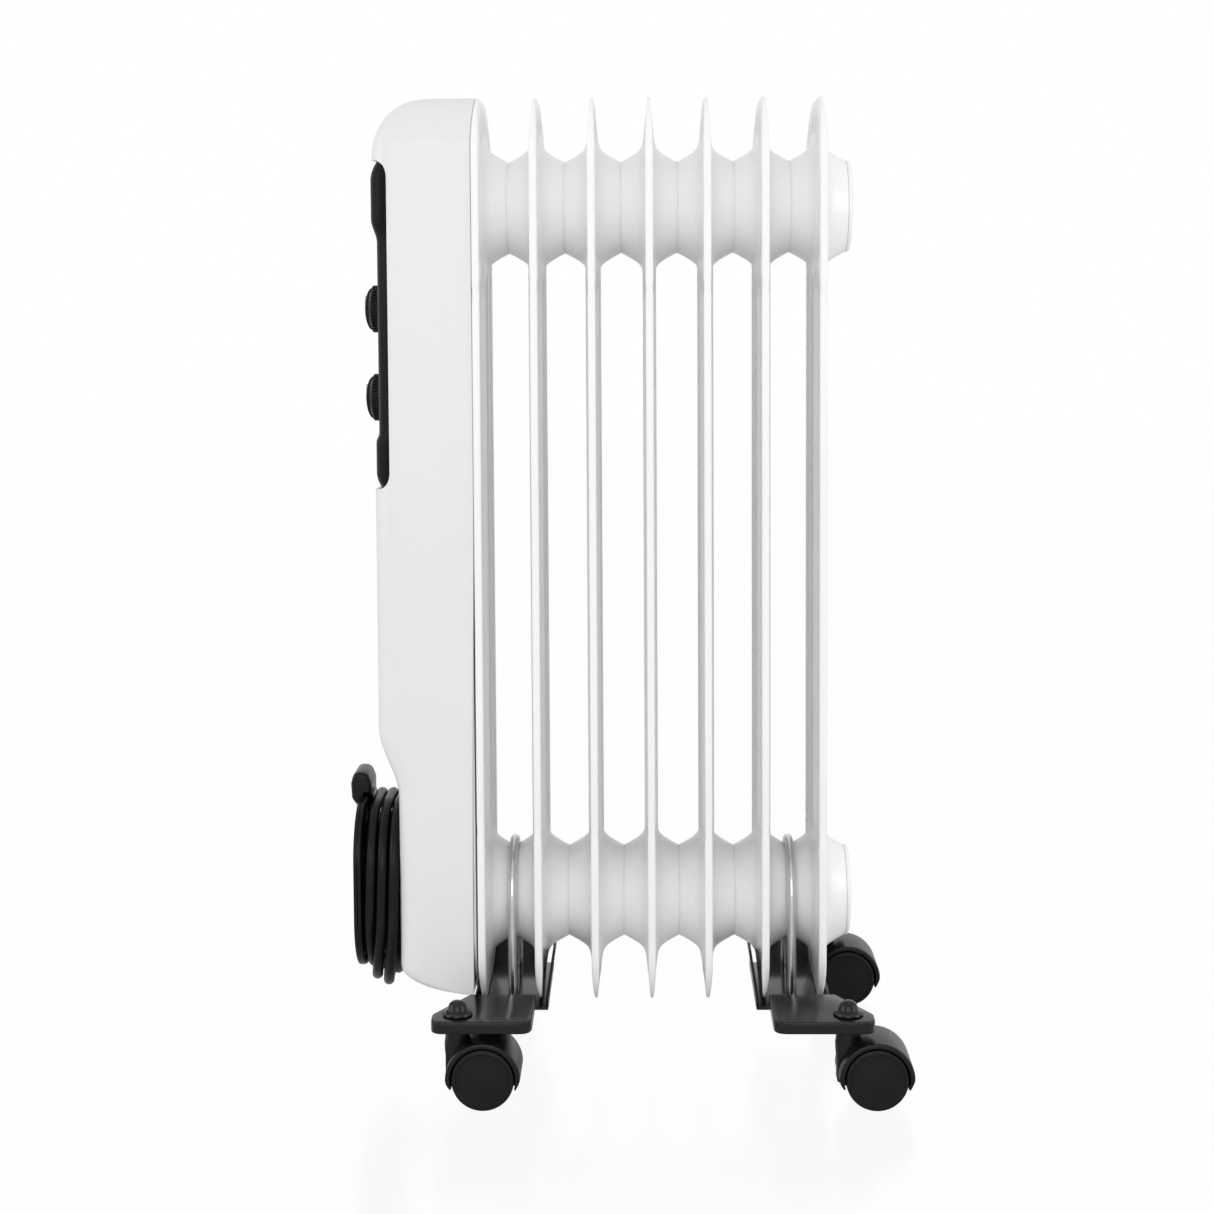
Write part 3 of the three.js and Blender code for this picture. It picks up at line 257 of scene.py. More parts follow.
def racetrack(half_y, low_z, high_z, radius, steps=10):
    """A round-cornered rectangle in (y, z)."""
    made = []
    for cy, cz, start in ((half_y - radius, low_z + radius, -90), (half_y - radius, high_z - radius, 0),
                          (radius - half_y, high_z - radius, 90), (radius - half_y, low_z + radius, 180)):
        for k in range(steps + 1):
            a = math.radians(start + 90 * k / steps)
            made.append(Vector((cy + radius * math.cos(a), cz + radius * math.sin(a))))
    return made


def swept(points, section):
    """A closed tube along points; section(i, count) gives its 2-D outline at each of them."""
    points = [Vector(p) for p in points]
    count = len(points)
    tangents = [(points[min(i + 1, count - 1)] - points[max(i - 1, 0)]).normalized() for i in range(count)]
    side = tangents[0].orthogonal().normalized()
    rings = []
    for i, (point, tangent) in enumerate(zip(points, tangents)):
        side = (side - tangent * side.dot(tangent)).normalized()
        other = tangent.cross(side)
        rings.append([point + side * a + other * b for a, b in section(i, count)])
    return skin(rings)


def circle(radius, sides):
    return [(radius * math.cos(math.tau * i / sides), radius * math.sin(math.tau * i / sides))
            for i in range(sides)]


def mesh_of(name, shells):
    """One mesh of several shells, merged where points meet, with outward normals."""
    made = bmesh.new()
    for verts, faces in shells:
        new = [made.verts.new(v) for v in verts]
        for face in faces:
            made.faces.new([new[i] for i in face])
    bmesh.ops.remove_doubles(made, verts=made.verts, dist=1e-6)
    bmesh.ops.dissolve_degenerate(made, dist=1e-7, edges=made.edges)
    bmesh.ops.recalc_face_normals(made, faces=made.faces)
    mesh = bpy.data.meshes.new(name)
    made.to_mesh(mesh)
    made.free()
    return mesh


def shell_of(mesh):
    return [tuple(v.co) for v in mesh.vertices], [tuple(f.vertices) for f in mesh.polygons]


def smooth(mesh, angle=40):
    mesh.shade_smooth()
    mesh.set_sharp_from_angle(angle=math.radians(angle))


def piece(name, shells, material, body="root", replaces=(), angle=40):
    """A new visible object that rides on a CAD body and may stand for CAD nodes."""
    mesh = shells if isinstance(shells, bpy.types.Mesh) else mesh_of(name, shells)
    smooth(mesh, angle)
    if not mesh.materials:
        mesh.materials.append(material)
    made = bpy.data.objects.new(name, mesh)
    scene.collection.objects.link(made)
    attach(made, body)
    if replaces:
        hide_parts(*replaces)
    return made


def combined(name, base, others):
    """The mesh of a shell cut by others, a list of ("INTERSECT" or "DIFFERENCE", shells)."""
    made = bpy.data.objects.new(name, mesh_of(name, base))
    scene.collection.objects.link(made)
    tools = []
    for index, (operation, shells) in enumerate(others):
        tool = bpy.data.objects.new(f"{name}_tool_{index}", mesh_of(f"{name}_tool_{index}", shells))
        scene.collection.objects.link(tool)
        tools.append(tool)
        modifier = made.modifiers.new(operation, "BOOLEAN")
        modifier.operation = operation
        modifier.solver = "EXACT"
        modifier.object = tool
    bpy.context.view_layer.update()
    evaluated = made.evaluated_get(bpy.context.evaluated_depsgraph_get())
    mesh = bpy.data.meshes.new_from_object(evaluated)
    mesh.name = name
    for thing in (made, *tools):
        bpy.data.objects.remove(thing)
    return mesh


# ---------------------------------------------------------------- materials
def material(name, color, roughness, metallic=0.0, grain=900, bump=0.03, vary=0.04, coat=0.0, blotch=14,
             specular=0.5):
    """A procedural finish: a fine grain in the bump and the roughness, and slow changes of colour."""
    made = bpy.data.materials.new(name)
    made.use_nodes = True
    nodes, links = made.node_tree.nodes, made.node_tree.links
    shader = nodes["Principled BSDF"]
    shader.inputs["Metallic"].default_value = metallic
    shader.inputs["Coat Weight"].default_value = coat
    shader.inputs["Coat Roughness"].default_value = 0.12
    shader.inputs["Specular IOR Level"].default_value = specular
    place = nodes.new("ShaderNodeTexCoord")

    slow = nodes.new("ShaderNodeTexNoise")
    slow.inputs["Scale"].default_value = blotch
    slow.inputs["Detail"].default_value = 5
    links.new(place.outputs["Object"], slow.inputs["Vector"])
    ramp = nodes.new("ShaderNodeValToRGB")
    ramp.color_ramp.elements[0].position = 0.3
    ramp.color_ramp.elements[1].position = 0.7
    ramp.color_ramp.elements[0].color = (*[c * (1 - vary) for c in color], 1)
    ramp.color_ramp.elements[1].color = (*[min(c * (1 + vary), 1) for c in color], 1)
    links.new(slow.outputs["Fac"], ramp.inputs["Fac"])
    links.new(ramp.outputs["Color"], shader.inputs["Base Color"])

    fine = nodes.new("ShaderNodeTexNoise")
    fine.inputs["Scale"].default_value = grain
    fine.inputs["Detail"].default_value = 3
    links.new(place.outputs["Object"], fine.inputs["Vector"])
    spread = nodes.new("ShaderNodeMapRange")
    spread.inputs["To Min"].default_value = roughness * 0.86
    spread.inputs["To Max"].default_value = min(roughness * 1.14, 1)
    links.new(fine.outputs["Fac"], spread.inputs["Value"])
    links.new(spread.outputs["Result"], shader.inputs["Roughness"])
    raised = nodes.new("ShaderNodeBump")
    raised.inputs["Strength"].default_value = bump
    raised.inputs["Distance"].default_value = 0.3 * MM
    links.new(fine.outputs["Fac"], raised.inputs["Height"])
    links.new(raised.outputs["Normal"], shader.inputs["Normal"])
    return made


def lens_material():
    made = material("amber_lens", (0.85, 0.24, 0.03), 0.12, grain=300, bump=0.02, vary=0.06)
    shader = made.node_tree.nodes["Principled BSDF"]
    shader.inputs["Transmission Weight"].default_value = 0.5
    shader.inputs["IOR"].default_value = 1.49
    return made


WHITE_PAINT = material("white_enamel", (0.92, 0.925, 0.92), 0.3, grain=420, bump=0.05, vary=0.008, coat=0.25)
WHITE_COVER = material("white_satin_enamel", (0.79, 0.792, 0.785), 0.36, grain=520, bump=0.06, vary=0.008,
                       coat=0.15)
BLACK_PLASTIC = material("black_textured_plastic", (0.003, 0.003, 0.0033), 0.38, grain=2600, bump=0.25,
                         vary=0.12, specular=0.12)
KNOB_PLASTIC = material("black_satin_plastic", (0.003, 0.003, 0.0033), 0.26, grain=2200, bump=0.12, vary=0.12,
                        specular=0.2)
WINDER_PLASTIC = material("black_gloss_plastic", (0.004, 0.004, 0.0044), 0.26, grain=1500, bump=0.06,
                          vary=0.12, specular=0.22)
CORD_SHEATH = material("black_pvc", (0.004, 0.004, 0.0044), 0.3, grain=700, bump=0.1, vary=0.15, blotch=60,
                       specular=0.22)
BLACK_ENAMEL = material("black_gloss_enamel", (0.006, 0.006, 0.0064), 0.18, grain=380, bump=0.08, vary=0.1,
                        coat=0.08, specular=0.28)
HOOD_PLASTIC = material("black_nylon", (0.004, 0.004, 0.0044), 0.28, grain=1800, bump=0.08, vary=0.12,
                        specular=0.28)
WHEEL_NYLON = material("charcoal_nylon", (0.007, 0.0074, 0.0078), 0.42, grain=1400, bump=0.15, vary=0.18,
                       blotch=70, specular=0.18)
ZINC = material("bright_zinc", (0.66, 0.67, 0.69), 0.2, metallic=1.0, grain=900, bump=0.06, vary=0.06,
                blotch=90)
BRASS = material("turned_brass", (0.72, 0.55, 0.26), 0.3, metallic=1.0, grain=900, bump=0.05, blotch=60)
SHEATH_STEEL = material("oil_dark_steel", (0.22, 0.2, 0.18), 0.38, metallic=1.0, grain=500, vary=0.15,
                        blotch=50)
CREAM = material("cream_plastic", (0.66, 0.6, 0.46), 0.5, grain=1500, bump=0.1)
PRINT = material("light_grey_print", (0.62, 0.62, 0.62), 0.55, grain=2500, bump=0.05)
NICKEL = material("nickel_pins", (0.62, 0.6, 0.56), 0.22, metallic=1.0, grain=700, bump=0.03)
AMBER = lens_material()


# ---------------------------------------------------------------- the cord, on its winder
OUTER_HALF_Y = 52 * MM                         # centre line of the outer turns
OUTER_TOP = 174 * MM
OUTER_R = 40 * MM
ROW_BOTTOM = [53 * MM, 57 * MM, 62 * MM]       # one for each of the three rows of turns
INNER_HALF_Y = OUTER_HALF_Y - CORD_PITCH
INNER_TOP = OUTER_TOP - CORD_PITCH
INNER_BOTTOM = ROW_BOTTOM[0] + CORD_PITCH
INNER_R = OUTER_R - CORD_PITCH
GLAND_TIP_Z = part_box("cord_gland")[1].z
TAIL_R = 30 * MM
TAIL_START_Z = 103 * MM
TAIL_END_Y = INNER_HALF_Y - TAIL_R
CORD_END_Y = TAIL_END_Y - 8 * MM               # inside the plug's strain relief


def row_x(row):
    return ROW_A - row * CORD_PITCH


def track_point(share, near, far, top, bottom, radius):
    """(y, z) on a round-cornered turn, at a share of its way from the far side's middle over the top."""
    flat_y, flat_z = (near + far) / 2 - radius, (top - bottom) / 2 - radius
    bend = radius * math.pi / 2
    way = [(False, flat_z), (True, bend), (False, 2 * flat_y), (True, bend), (False, 2 * flat_z),
           (True, bend), (False, 2 * flat_y), (True, bend), (False, flat_z)]
    left = share * sum(length for _, length in way)
    y, z, heading = flat_y + radius, 0.0, math.pi / 2
    for bends, length in way:
        step = min(left, length)
        left -= step
        if bends:
            middle_y, middle_z = y - math.sin(heading) * radius, z + math.cos(heading) * radius
            heading += step / radius
            y, z = middle_y + math.sin(heading) * radius, middle_z - math.cos(heading) * radius
        else:
            y, z = y + math.cos(heading) * step, z + math.sin(heading) * step
        if left <= 0:
            break
    return (far - near) / 2 + y, (top + bottom) / 2 + z


def cord_points():
    """Out of the gland, one turn against the hub, three over it that lean outwards, and in to the plug."""
    a, b, c = (row_x(row) for row in range(3))
    far = OUTER_HALF_Y + 0.8 * MM                # clear of the gland
    inner = (INNER_HALF_Y, INNER_HALF_Y, INNER_TOP, INNER_BOTTOM, INNER_R)
    inner_c = (INNER_HALF_Y, INNER_HALF_Y, INNER_TOP, ROW_BOTTOM[2] + 3.5 * MM, INNER_R)
    outer = [(OUTER_HALF_Y, far, OUTER_TOP, bottom, OUTER_R) for bottom in ROW_BOTTOM]
    lean = [(0.25, 1.2 * MM), (0.43, 1.2 * MM), (0.56, -0.4 * MM)]
    turns = [                      # first track, last track, where it changes over, x on the way
        (inner, outer[0], (0.72, 0.95), [(0, a), (1, a)]),
        (outer[0], outer[0], (0, 1), [(0, a), *[(t, a + x) for t, x in lean], (0.72, b), (1, b)]),
        (outer[1], outer[1], (0, 1), [(0, b), *[(t, b + x) for t, x in lean], (0.72, c), (1, c)]),
        (outer[2], inner_c, (0.52, 0.7), [(0, c), *[(t, c + x) for t, x in lean], (1, c)]),
    ]
    steps = 44
    made = [Vector((a, INNER_HALF_Y, GLAND_TIP_Z - 6 * MM)), Vector((a, INNER_HALF_Y, GLAND_TIP_Z + 4 * MM))]
    for index, (first, last, change, xs) in enumerate(turns):
        for k in range(steps):
            share = k / steps
            before, after = Vector(track_point(share, *first)), Vector(track_point(share, *last))
            y, z = before.lerp(after, smoothstep(*change, share))
            starting = index == 0 and share < 0.25 and z < GLAND_TIP_Z + 9 * MM
            ending = index == 3 and share > 0.75 and y > 0 and z > TAIL_START_Z - 5 * MM
            if not starting and not ending:
                made.append(Vector((table(xs, share), y, z)))
    for k in range(9):
        angle = math.pi / 2 * k / 8
        y, z = TAIL_END_Y + TAIL_R * math.cos(angle), TAIL_START_Z + TAIL_R * math.sin(angle)
        made.append(Vector((c, y, z)))
    made.append(Vector((c, CORD_END_Y, TAIL_START_Z + TAIL_R)))
    return made


def build_cord():
    curve = bpy.data.curves.new("mains_cord", "CURVE")
    curve.dimensions = "3D"
    points = cord_points()
    spline = curve.splines.new("BEZIER")
    spline.bezier_points.add(len(points) - 1)
    for i, point in enumerate(points):
        before, after = points[max(i - 1, 0)], points[min(i + 1, len(points) - 1)]
        along = (after - before).normalized()
        knot = spline.bezier_points[i]
        knot.co = point
        knot.handle_left_type = knot.handle_right_type = "FREE"
        knot.handle_left = point - along * (point - before).length / 3
        knot.handle_right = point + along * (after - point).length / 3
    spline.resolution_u = 4
    curve.bevel_depth = CORD_R
    curve.bevel_resolution = 5
    curve.use_fill_caps = True
    curve.materials.append(CORD_SHEATH)
    made = bpy.data.objects.new("mains_cord", curve)
    scene.collection.objects.link(made)
    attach(made, "root")
    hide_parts("cord_coil", "cord_tail")
    return made


PLUG_BACK = row_x(0) + 2.5 * MM
PLUG_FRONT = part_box("plug")[0].x
PLUG_Y = -14 * MM
PLUG_Z = 119 * MM
PLUG_R = 18.5 * MM
PIN_REACH = 9.5 * MM                           # from the plug's middle to each pin


def build_plug():
    """A round two-pin plug with its cord entry at the side, a waisted grip and a ribbed strain relief."""
    depth = PLUG_BACK - PLUG_FRONT
    profile = [(0, 0), (PLUG_R - 6.5 * MM, 0), (PLUG_R - 2.6 * MM, 2.2 * MM), (PLUG_R - 1.8 * MM, 6 * MM),
               (PLUG_R - 3.2 * MM, 10 * MM), (PLUG_R - 2 * MM, 15 * MM), (PLUG_R, 18.5 * MM), (PLUG_R, depth),
               (0, depth)]
    profile = rounded(profile, 2.2 * MM, closed=False)
    body = turned([tuple(p) for p in profile], (PLUG_FRONT, PLUG_Y, PLUG_Z), (1, 0, 0), 56)
    relief_start = -6 * MM
    ribs = [(0.0, relief_start)]
    rib_count = 6
    length = TAIL_END_Y - relief_start
    step = length / rib_count
    for k in range(rib_count):
        start = relief_start + length * k / rib_count
        radius = mix(5.6 * MM, 4.4 * MM, k / rib_count)
        groove_r = radius - 0.8 * MM
        ribs += [(radius, start + 0.05 * step), (radius, start + 0.6 * step), (groove_r, start + 0.7 * step),
                 (groove_r, start + 0.95 * step)]
    ribs.append((0.0, TAIL_END_Y))
    relief = turned(ribs, (row_x(2), 0, TAIL_START_Z + TAIL_R), (0, 1, 0), 32)
    grooves = []
    for z in (PLUG_Z - 5 * MM, PLUG_Z, PLUG_Z + 5 * MM):
        outline = rounded(rectangle(PLUG_Y - 9 * MM, z - 0.7 * MM, PLUG_Y + 9 * MM, z + 0.7 * MM), 0.6 * MM)
        grooves.append(prism(outline, "x", PLUG_FRONT - 0.5 * MM, PLUG_FRONT + 0.3 * MM, 0.2 * MM))
    plug = piece("plug_body", [body, relief, *grooves], KNOB_PLASTIC, replaces=["plug"])
    pin = [(0, 0), (2.4 * MM, 0), (2.4 * MM, 17.5 * MM), (1.4 * MM, 19 * MM), (0, 19 * MM)]
    pins = [turned(pin, (PLUG_BACK - 0.2 * MM, PLUG_Y, PLUG_Z + side * PIN_REACH), (1, 0, 0), 24)
            for side in (-1, 1)]
    return plug, piece("plug_pins", pins, NICKEL)


def build_gland():
    """The cord's outlet: an elbow in the housing and a ribbed sleeve that tapers up into the first turn."""
    base_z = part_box("cord_gland")[0].z
    sleeve = [(0, base_z), (4.2 * MM, base_z), (4.7 * MM, base_z + 1 * MM), (4.7 * MM, base_z + 11 * MM)]
    rib_count = 6
    start_z = base_z + 12 * MM
    step = (GLAND_TIP_Z - start_z) / rib_count
    for k in range(rib_count):
        radius = mix(4.65 * MM, 4.05 * MM, k / (rib_count - 1))
        z = start_z + k * step
        sleeve += [(radius - 0.45 * MM, z), (radius, z + 0.12 * step), (radius, z + 0.7 * step),
                   (radius - 0.45 * MM, z + 0.8 * step)]
    sleeve += [(3.95 * MM, GLAND_TIP_Z - 0.3 * MM), (0, GLAND_TIP_Z)]
    tube = turned(sleeve, (ROW_A, INNER_HALF_Y, 0), (0, 0, 1), 32)
    neck = turned(rod(5 * MM, 0, 8 * MM), (ROW_A + 0.5 * MM, INNER_HALF_Y, base_z + 6 * MM), (1, 0, 0), 32)
    piece("gland_sleeve", [tube, neck], BLACK_PLASTIC, replaces=["cord_gland"])


add_camera()
cord = build_cord()
plug_body, plug_pins = build_plug()
build_gland()


# ---------------------------------------------------------------- fins
FIN_HALF = 2.5 * MM                            # half the thickness of the welded rim
PRESSED_HALF = 2.0 * MM                        # half the thickness of the sheets behind the rim
RIB_RISE = 2.4 * MM
RIM_R = 1.7 * MM
TIP_LENGTH = 30 * MM                           # the welded rim thins out towards the fin's top and bottom
TIP_SHARE = 0.45                               # what is left of its thickness there
COLLAR = [(27.0, 18.74), (30.2, 18.74), (30.5, 18.5), (31.2, 17.0), (33.4, 12.9), (35.8, 9.0), (38.0, 6.3),
          (40.4, 4.9), (43.6, 4.0), (48.0, 3.3), (54.0, 2.8)]
COLLAR = [(radius * MM, reach * MM) for radius, reach in COLLAR]
PATCH = FIN_HALF_Y                             # half the side of the square round each collar


def rim_depth(y, z):
    """How far a point on the fin lies inside its outline."""
    half_z = (FIN_TOP - FIN_BOTTOM) / 2
    dy = abs(y) - (FIN_HALF_Y - FIN_CORNER_R)
    dz = abs(z - (FIN_TOP + FIN_BOTTOM) / 2) - (half_z - FIN_CORNER_R)
    outside = math.hypot(max(dy, 0), max(dz, 0)) + min(max(dy, dz), 0)
    return FIN_CORNER_R - outside


def tip_share(z):
    """How much of a fin's thickness is left at a height."""
    return mix(TIP_SHARE, 1, smoothstep(0, TIP_LENGTH, min(z - FIN_BOTTOM, FIN_TOP - z)))


def fin_half_thickness(y, z):
    depth = rim_depth(y, z)
    body = mix(FIN_HALF, PRESSED_HALF, smoothstep(6 * MM, 9 * MM, depth)) * tip_share(z)
    rib_low, rib_high = COLLAR_Z[0] + 26 * MM, COLLAR_Z[1] - 26 * MM
    for rib_y in RIB_Y:
        away = math.hypot(y - rib_y, max(rib_low - z, 0, z - rib_high))
        body += RIB_RISE * (1 - smoothstep(3.2 * MM, 9 * MM, away))
    radius = min(math.hypot(y, z - collar_z) for collar_z in COLLAR_Z)
    body = max(body, table(COLLAR, radius) if radius < COLLAR[-1][0] else 0)
    edge = min(depth / RIM_R, 1)
    return body * (0.42 + 0.58 * math.sqrt(max(1 - (1 - edge) ** 2, 0)))


def outline_reach(angle, collar_z):
    """From a collar's centre to its patch's edge: the fin's outline, or the seam with the plain middle."""
    direction = Vector((math.cos(angle), math.sin(angle)))
    inward = 1 if collar_z < (FIN_TOP + FIN_BOTTOM) / 2 else -1
    low, high = 0.0, 2 * PATCH
    for _ in range(40):
        middle = (low + high) / 2
        y, z = direction.x * middle, collar_z + direction.y * middle
        inside = rim_depth(y, z) > 0 and (z - collar_z) * inward < PATCH
        low, high = (middle, high) if inside else (low, middle)
    return low


def seam_places():
    """The places along Y of the fin's grid lines, closer together at the rim."""
    near_rim = [0, 0.5 * MM, 1.2 * MM, 2.4 * MM, 4.2 * MM, 6.2 * MM]
    inner = FIN_HALF_Y - 8 * MM
    count = 48
    middle = [-inner + 2 * inner * i / count for i in range(count + 1)]
    edge = [FIN_HALF_Y - d for d in near_rim]
    return [-y for y in edge] + middle + edge[::-1]


def fin_faces():
    """The two pressed sheets as shells: a plain middle, and a patch of rings round each collar."""
    ys = seam_places()
    middle_z = (COLLAR_Z[0] + PATCH, COLLAR_Z[1] - PATCH)
    rows, around = 6, 64
    rim_steps = [4.2 * MM, 2.4 * MM, 1.2 * MM, 0.5 * MM, 0.0]
    shells = []
    for side in (-1, 1):
        rings = [[(side * fin_half_thickness(y, z), y, z) for y in ys]
                 for z in (mix(*middle_z, k / rows) for k in range(rows + 1))]
        verts, faces = skin(rings, caps=False)
        shells.append((verts, [f for f in faces if f[1] - f[0] == 1]))
    for collar_z, inward in zip(COLLAR_Z, (1, -1)):
        seam = [math.atan2(PATCH * inward, y) for y in ys]
        others = [seam[0] + inward * 1.5 * math.pi * i / around for i in range(1, around)]
        columns = []
        for i, angle in enumerate(seam[::-1] + others):
            if i < len(ys):
                reach = math.hypot(ys[::-1][i], PATCH)
                outer = [mix(COLLAR[-1][0], reach, t) for t in (0.3, 0.6, 0.8, 0.93, 1.0)]
            else:
                reach = outline_reach(angle, collar_z)
                outer = [reach - depth for depth in rim_steps]
            columns.append([(math.cos(angle) * r, collar_z + math.sin(angle) * r)
                            for r in [radius for radius, _ in COLLAR] + outer])
        for side in (-1, 1):
            rings = [[(side * fin_half_thickness(*column[k]), *column[k]) for column in columns]
                     for k in range(len(columns[0]))]
            shells.append(skin(rings, caps=False))
    return shells


def fin_mesh():
    """Both sheets, joined round the rim and inside the gallery."""
    made = bmesh.new()
    for verts, faces in fin_faces():
        new = [made.verts.new(v) for v in verts]
        for face in faces:
            made.faces.new([new[i] for i in face])
    bmesh.ops.remove_doubles(made, verts=made.verts, dist=2e-6)
    places = {(round(v.co.y, 5), round(v.co.z, 5)): v for v in made.verts if v.co.x < 0}
    open_edges = [e for e in made.edges if e.is_boundary and e.verts[0].co.x > 0]
    for edge in open_edges:
        first, second = edge.verts
        across = [places.get((round(v.co.y, 5), round(v.co.z, 5))) for v in (second, first)]
        if None not in across:
            made.faces.new([first, second, *across])
    bmesh.ops.recalc_face_normals(made, faces=made.faces)
    mesh = bpy.data.meshes.new("fin")
    made.to_mesh(mesh)
    made.free()
    mesh.materials.append(WHITE_PAINT)
    return mesh


def build_fins():
    mesh = fin_mesh()
    for number in range(1, FIN_COUNT + 1):
        made = piece(f"pressed_fin_{number}", mesh, WHITE_PAINT, angle=50,
                     replaces=[f"fin_{number}"])
        made.location.x = SHIFT + (number - (FIN_COUNT + 1) / 2) * FIN_PITCH


def build_end_caps():
    """Pressed discs that close the galleries on the free side, with a rolled rim and a sunk middle."""
    for label, z in zip(("lower", "upper"), COLLAR_Z):
        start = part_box(f"{label}_end_cap")[0].x
        profile = [(0, 0), (NECK_R - 0.2 * MM, 0), (NECK_R + 0.1 * MM, 0.9 * MM), (NECK_R - 0.4 * MM, 1.9 * MM),
                   (NECK_R - 1.6 * MM, 2.5 * MM), (NECK_R - 3.4 * MM, 2.2 * MM),
                   (NECK_R - 5.2 * MM, 1.1 * MM), (NECK_R - 8 * MM, 0.9 * MM), (8 * MM, 1.3 * MM),
                   (0, 1.4 * MM)]
        disc = turned(profile, (start, 0, z), (1, 0, 0), 64)
        piece(f"pressed_{label}_cap", [disc], WHITE_PAINT, replaces=[f"{label}_end_cap"])


# ---------------------------------------------------------------- control housing
STEP_LOW = 187 * MM
STEP_HIGH = 232 * MM
SHOULDER_Z = 606 * MM
SHOULDER_DEPTH = 32 * MM
FOOT_CURVE_Z = HOUSING_BOTTOM + 17 * MM
FOOT_CURVE_DEPTH = 45 * MM
PLAN_R = 14 * MM
SEAM_LOW = 120 * MM                            # the cover closes on the first fin between these heights
SEAM_HIGH = 400 * MM
SEAM_REACH = 2.9 * MM                          # how far its edge reaches above them
EDGE_EASE = 1.0 * MM                           # rounding of the cover's rear edge
PANEL_BOTTOM = 391 * MM
PANEL_TOP = 605 * MM
PANEL_RECESS = HOUSING_FACE + 3 * MM           # the panel's face round the knobs
LIP_LOW, LIP_HIGH = 422 * MM, 428 * MM         # the lower lip ends between these heights
BROW_LOW, BROW_HIGH = 552 * MM, 567 * MM       # the face comes forward between these heights
CURVE_LOW, CURVE_HIGH = 402 * MM, 592 * MM     # the face curves back beyond these heights


def housing_half(z, wall):
    """Half width at a height: full, then round the top corners with the fins."""
    half, radius = FIN_HALF_Y - wall, FIN_CORNER_R - wall
    rise = z - (FIN_TOP - FIN_CORNER_R)
    return half if rise <= 0 else half - radius + math.sqrt(max(radius ** 2 - rise ** 2, 0))


def housing_face(z):
    """Outer face at a height: rounded foot, lower face, S-shaped step, upper face, rounded shoulder."""
    if z < FOOT_CURVE_Z:
        t = (FOOT_CURVE_Z - z) / (FOOT_CURVE_Z - HOUSING_BOTTOM)
        return HOUSING_LOWER + FOOT_CURVE_DEPTH * (1 - math.sqrt(max(1 - t * t, 0)))
    if z > SHOULDER_Z:
        t = (z - SHOULDER_Z) / (FIN_TOP - SHOULDER_Z)
        return HOUSING_FACE + SHOULDER_DEPTH * (1 - math.sqrt(max(1 - t * t, 0)))
    return mix(HOUSING_LOWER, HOUSING_FACE, smoothstep(STEP_LOW, STEP_HIGH, z))


def bowed_level(z, back, face, half, radius, across=6, ease=0):
    """A level section: a rectangle whose two outer corners are rounded, with points along its sides."""
    corner = 12
    eased = [(back, half - ease, z), (back - 0.4 * ease, half - 0.3 * ease, z)] if ease else []
    back -= 1.2 * ease
    ring = list(eased)
    for t in (i / across for i in range(across)):
        ring.append((mix(back, face + radius, t), half, z))
    for k in range(corner):
        a = math.pi / 2 + math.pi / 2 * k / corner
        ring.append((face + radius + radius * math.cos(a), half - radius + radius * math.sin(a), z))
    for t in (i / across for i in range(across)):
        ring.append((face, mix(half - radius, radius - half, t), z))
    for k in range(corner):
        a = math.pi + math.pi / 2 * k / corner
        ring.append((face + radius + radius * math.cos(a), radius - half + radius * math.sin(a), z))
    for t in (i / across for i in range(across + 1)):
        ring.append((mix(face + radius, back, t), -half, z))
    return ring + [(x, -y, z) for x, y, z in reversed(eased)]


def housing_skin(wall, back):
    """The cover's outer skin, or with a wall the hollow inside it."""
    bottom, top = HOUSING_BOTTOM + wall, FIN_TOP - wall - 0.4 * MM
    heights = [mix(FOOT_CURVE_Z, bottom, math.sin(math.pi / 2 * i / 10)) for i in range(10, 0, -1)]
    heights += [mix(FOOT_CURVE_Z, STEP_LOW, i / 4) for i in range(4)]
    heights += [mix(STEP_LOW, STEP_HIGH, i / 14) for i in range(14)]
    heights += [mix(STEP_HIGH, SHOULDER_Z, i / 12) for i in range(12)]
    heights += [mix(SHOULDER_Z, top, math.sin(math.pi / 2 * i / 14)) for i in range(15)]
    rings = []
    for z in heights:
        half = housing_half(z, wall)
        if wall:
            outer_z = mix(HOUSING_BOTTOM, FIN_TOP, (z - bottom) / (top - bottom))
            outer_z = min(max(outer_z, HOUSING_BOTTOM + 1 * MM), FIN_TOP - 1 * MM)
            edge, ease = back, 0
        else:
            outer_z = z
            reached = SEAM_REACH + FIN_HALF * (1 - tip_share(z))
            edge = back + mix(0.2 * MM, reached, smoothstep(SEAM_LOW, SEAM_HIGH, z))
            ease = EDGE_EASE
        face = housing_face(outer_z)
        radius = min(PLAN_R - wall, 0.9 * half, 0.8 * (edge - face - wall))
        rings.append(bowed_level(z, edge, face + wall, half, radius, ease=ease))
    return skin(rings)


def panel_window(grow):
    """The panel's cut-out in the cover, in (x, z)."""
    outline = rectangle(HOUSING_FACE - 30 * MM, PANEL_BOTTOM - grow, PANEL_BACK + grow, PANEL_TOP + grow)
    return rounded(outline, [0, 12 * MM, 12 * MM, 0], steps=8)


def build_housing():
    window = prism(panel_window(0.2 * MM), "y", -FIN_HALF_Y * 1.2, FIN_HALF_Y * 1.2, 0)
    mesh = combined("cover", [housing_skin(0, HOUSING_BACK)],
                    [("DIFFERENCE", [housing_skin(WALL, HOUSING_BACK + 8 * MM)]), ("DIFFERENCE", [window])])
    piece("enamelled_cover", mesh, WHITE_COVER, replaces=["housing_cover"], angle=32)


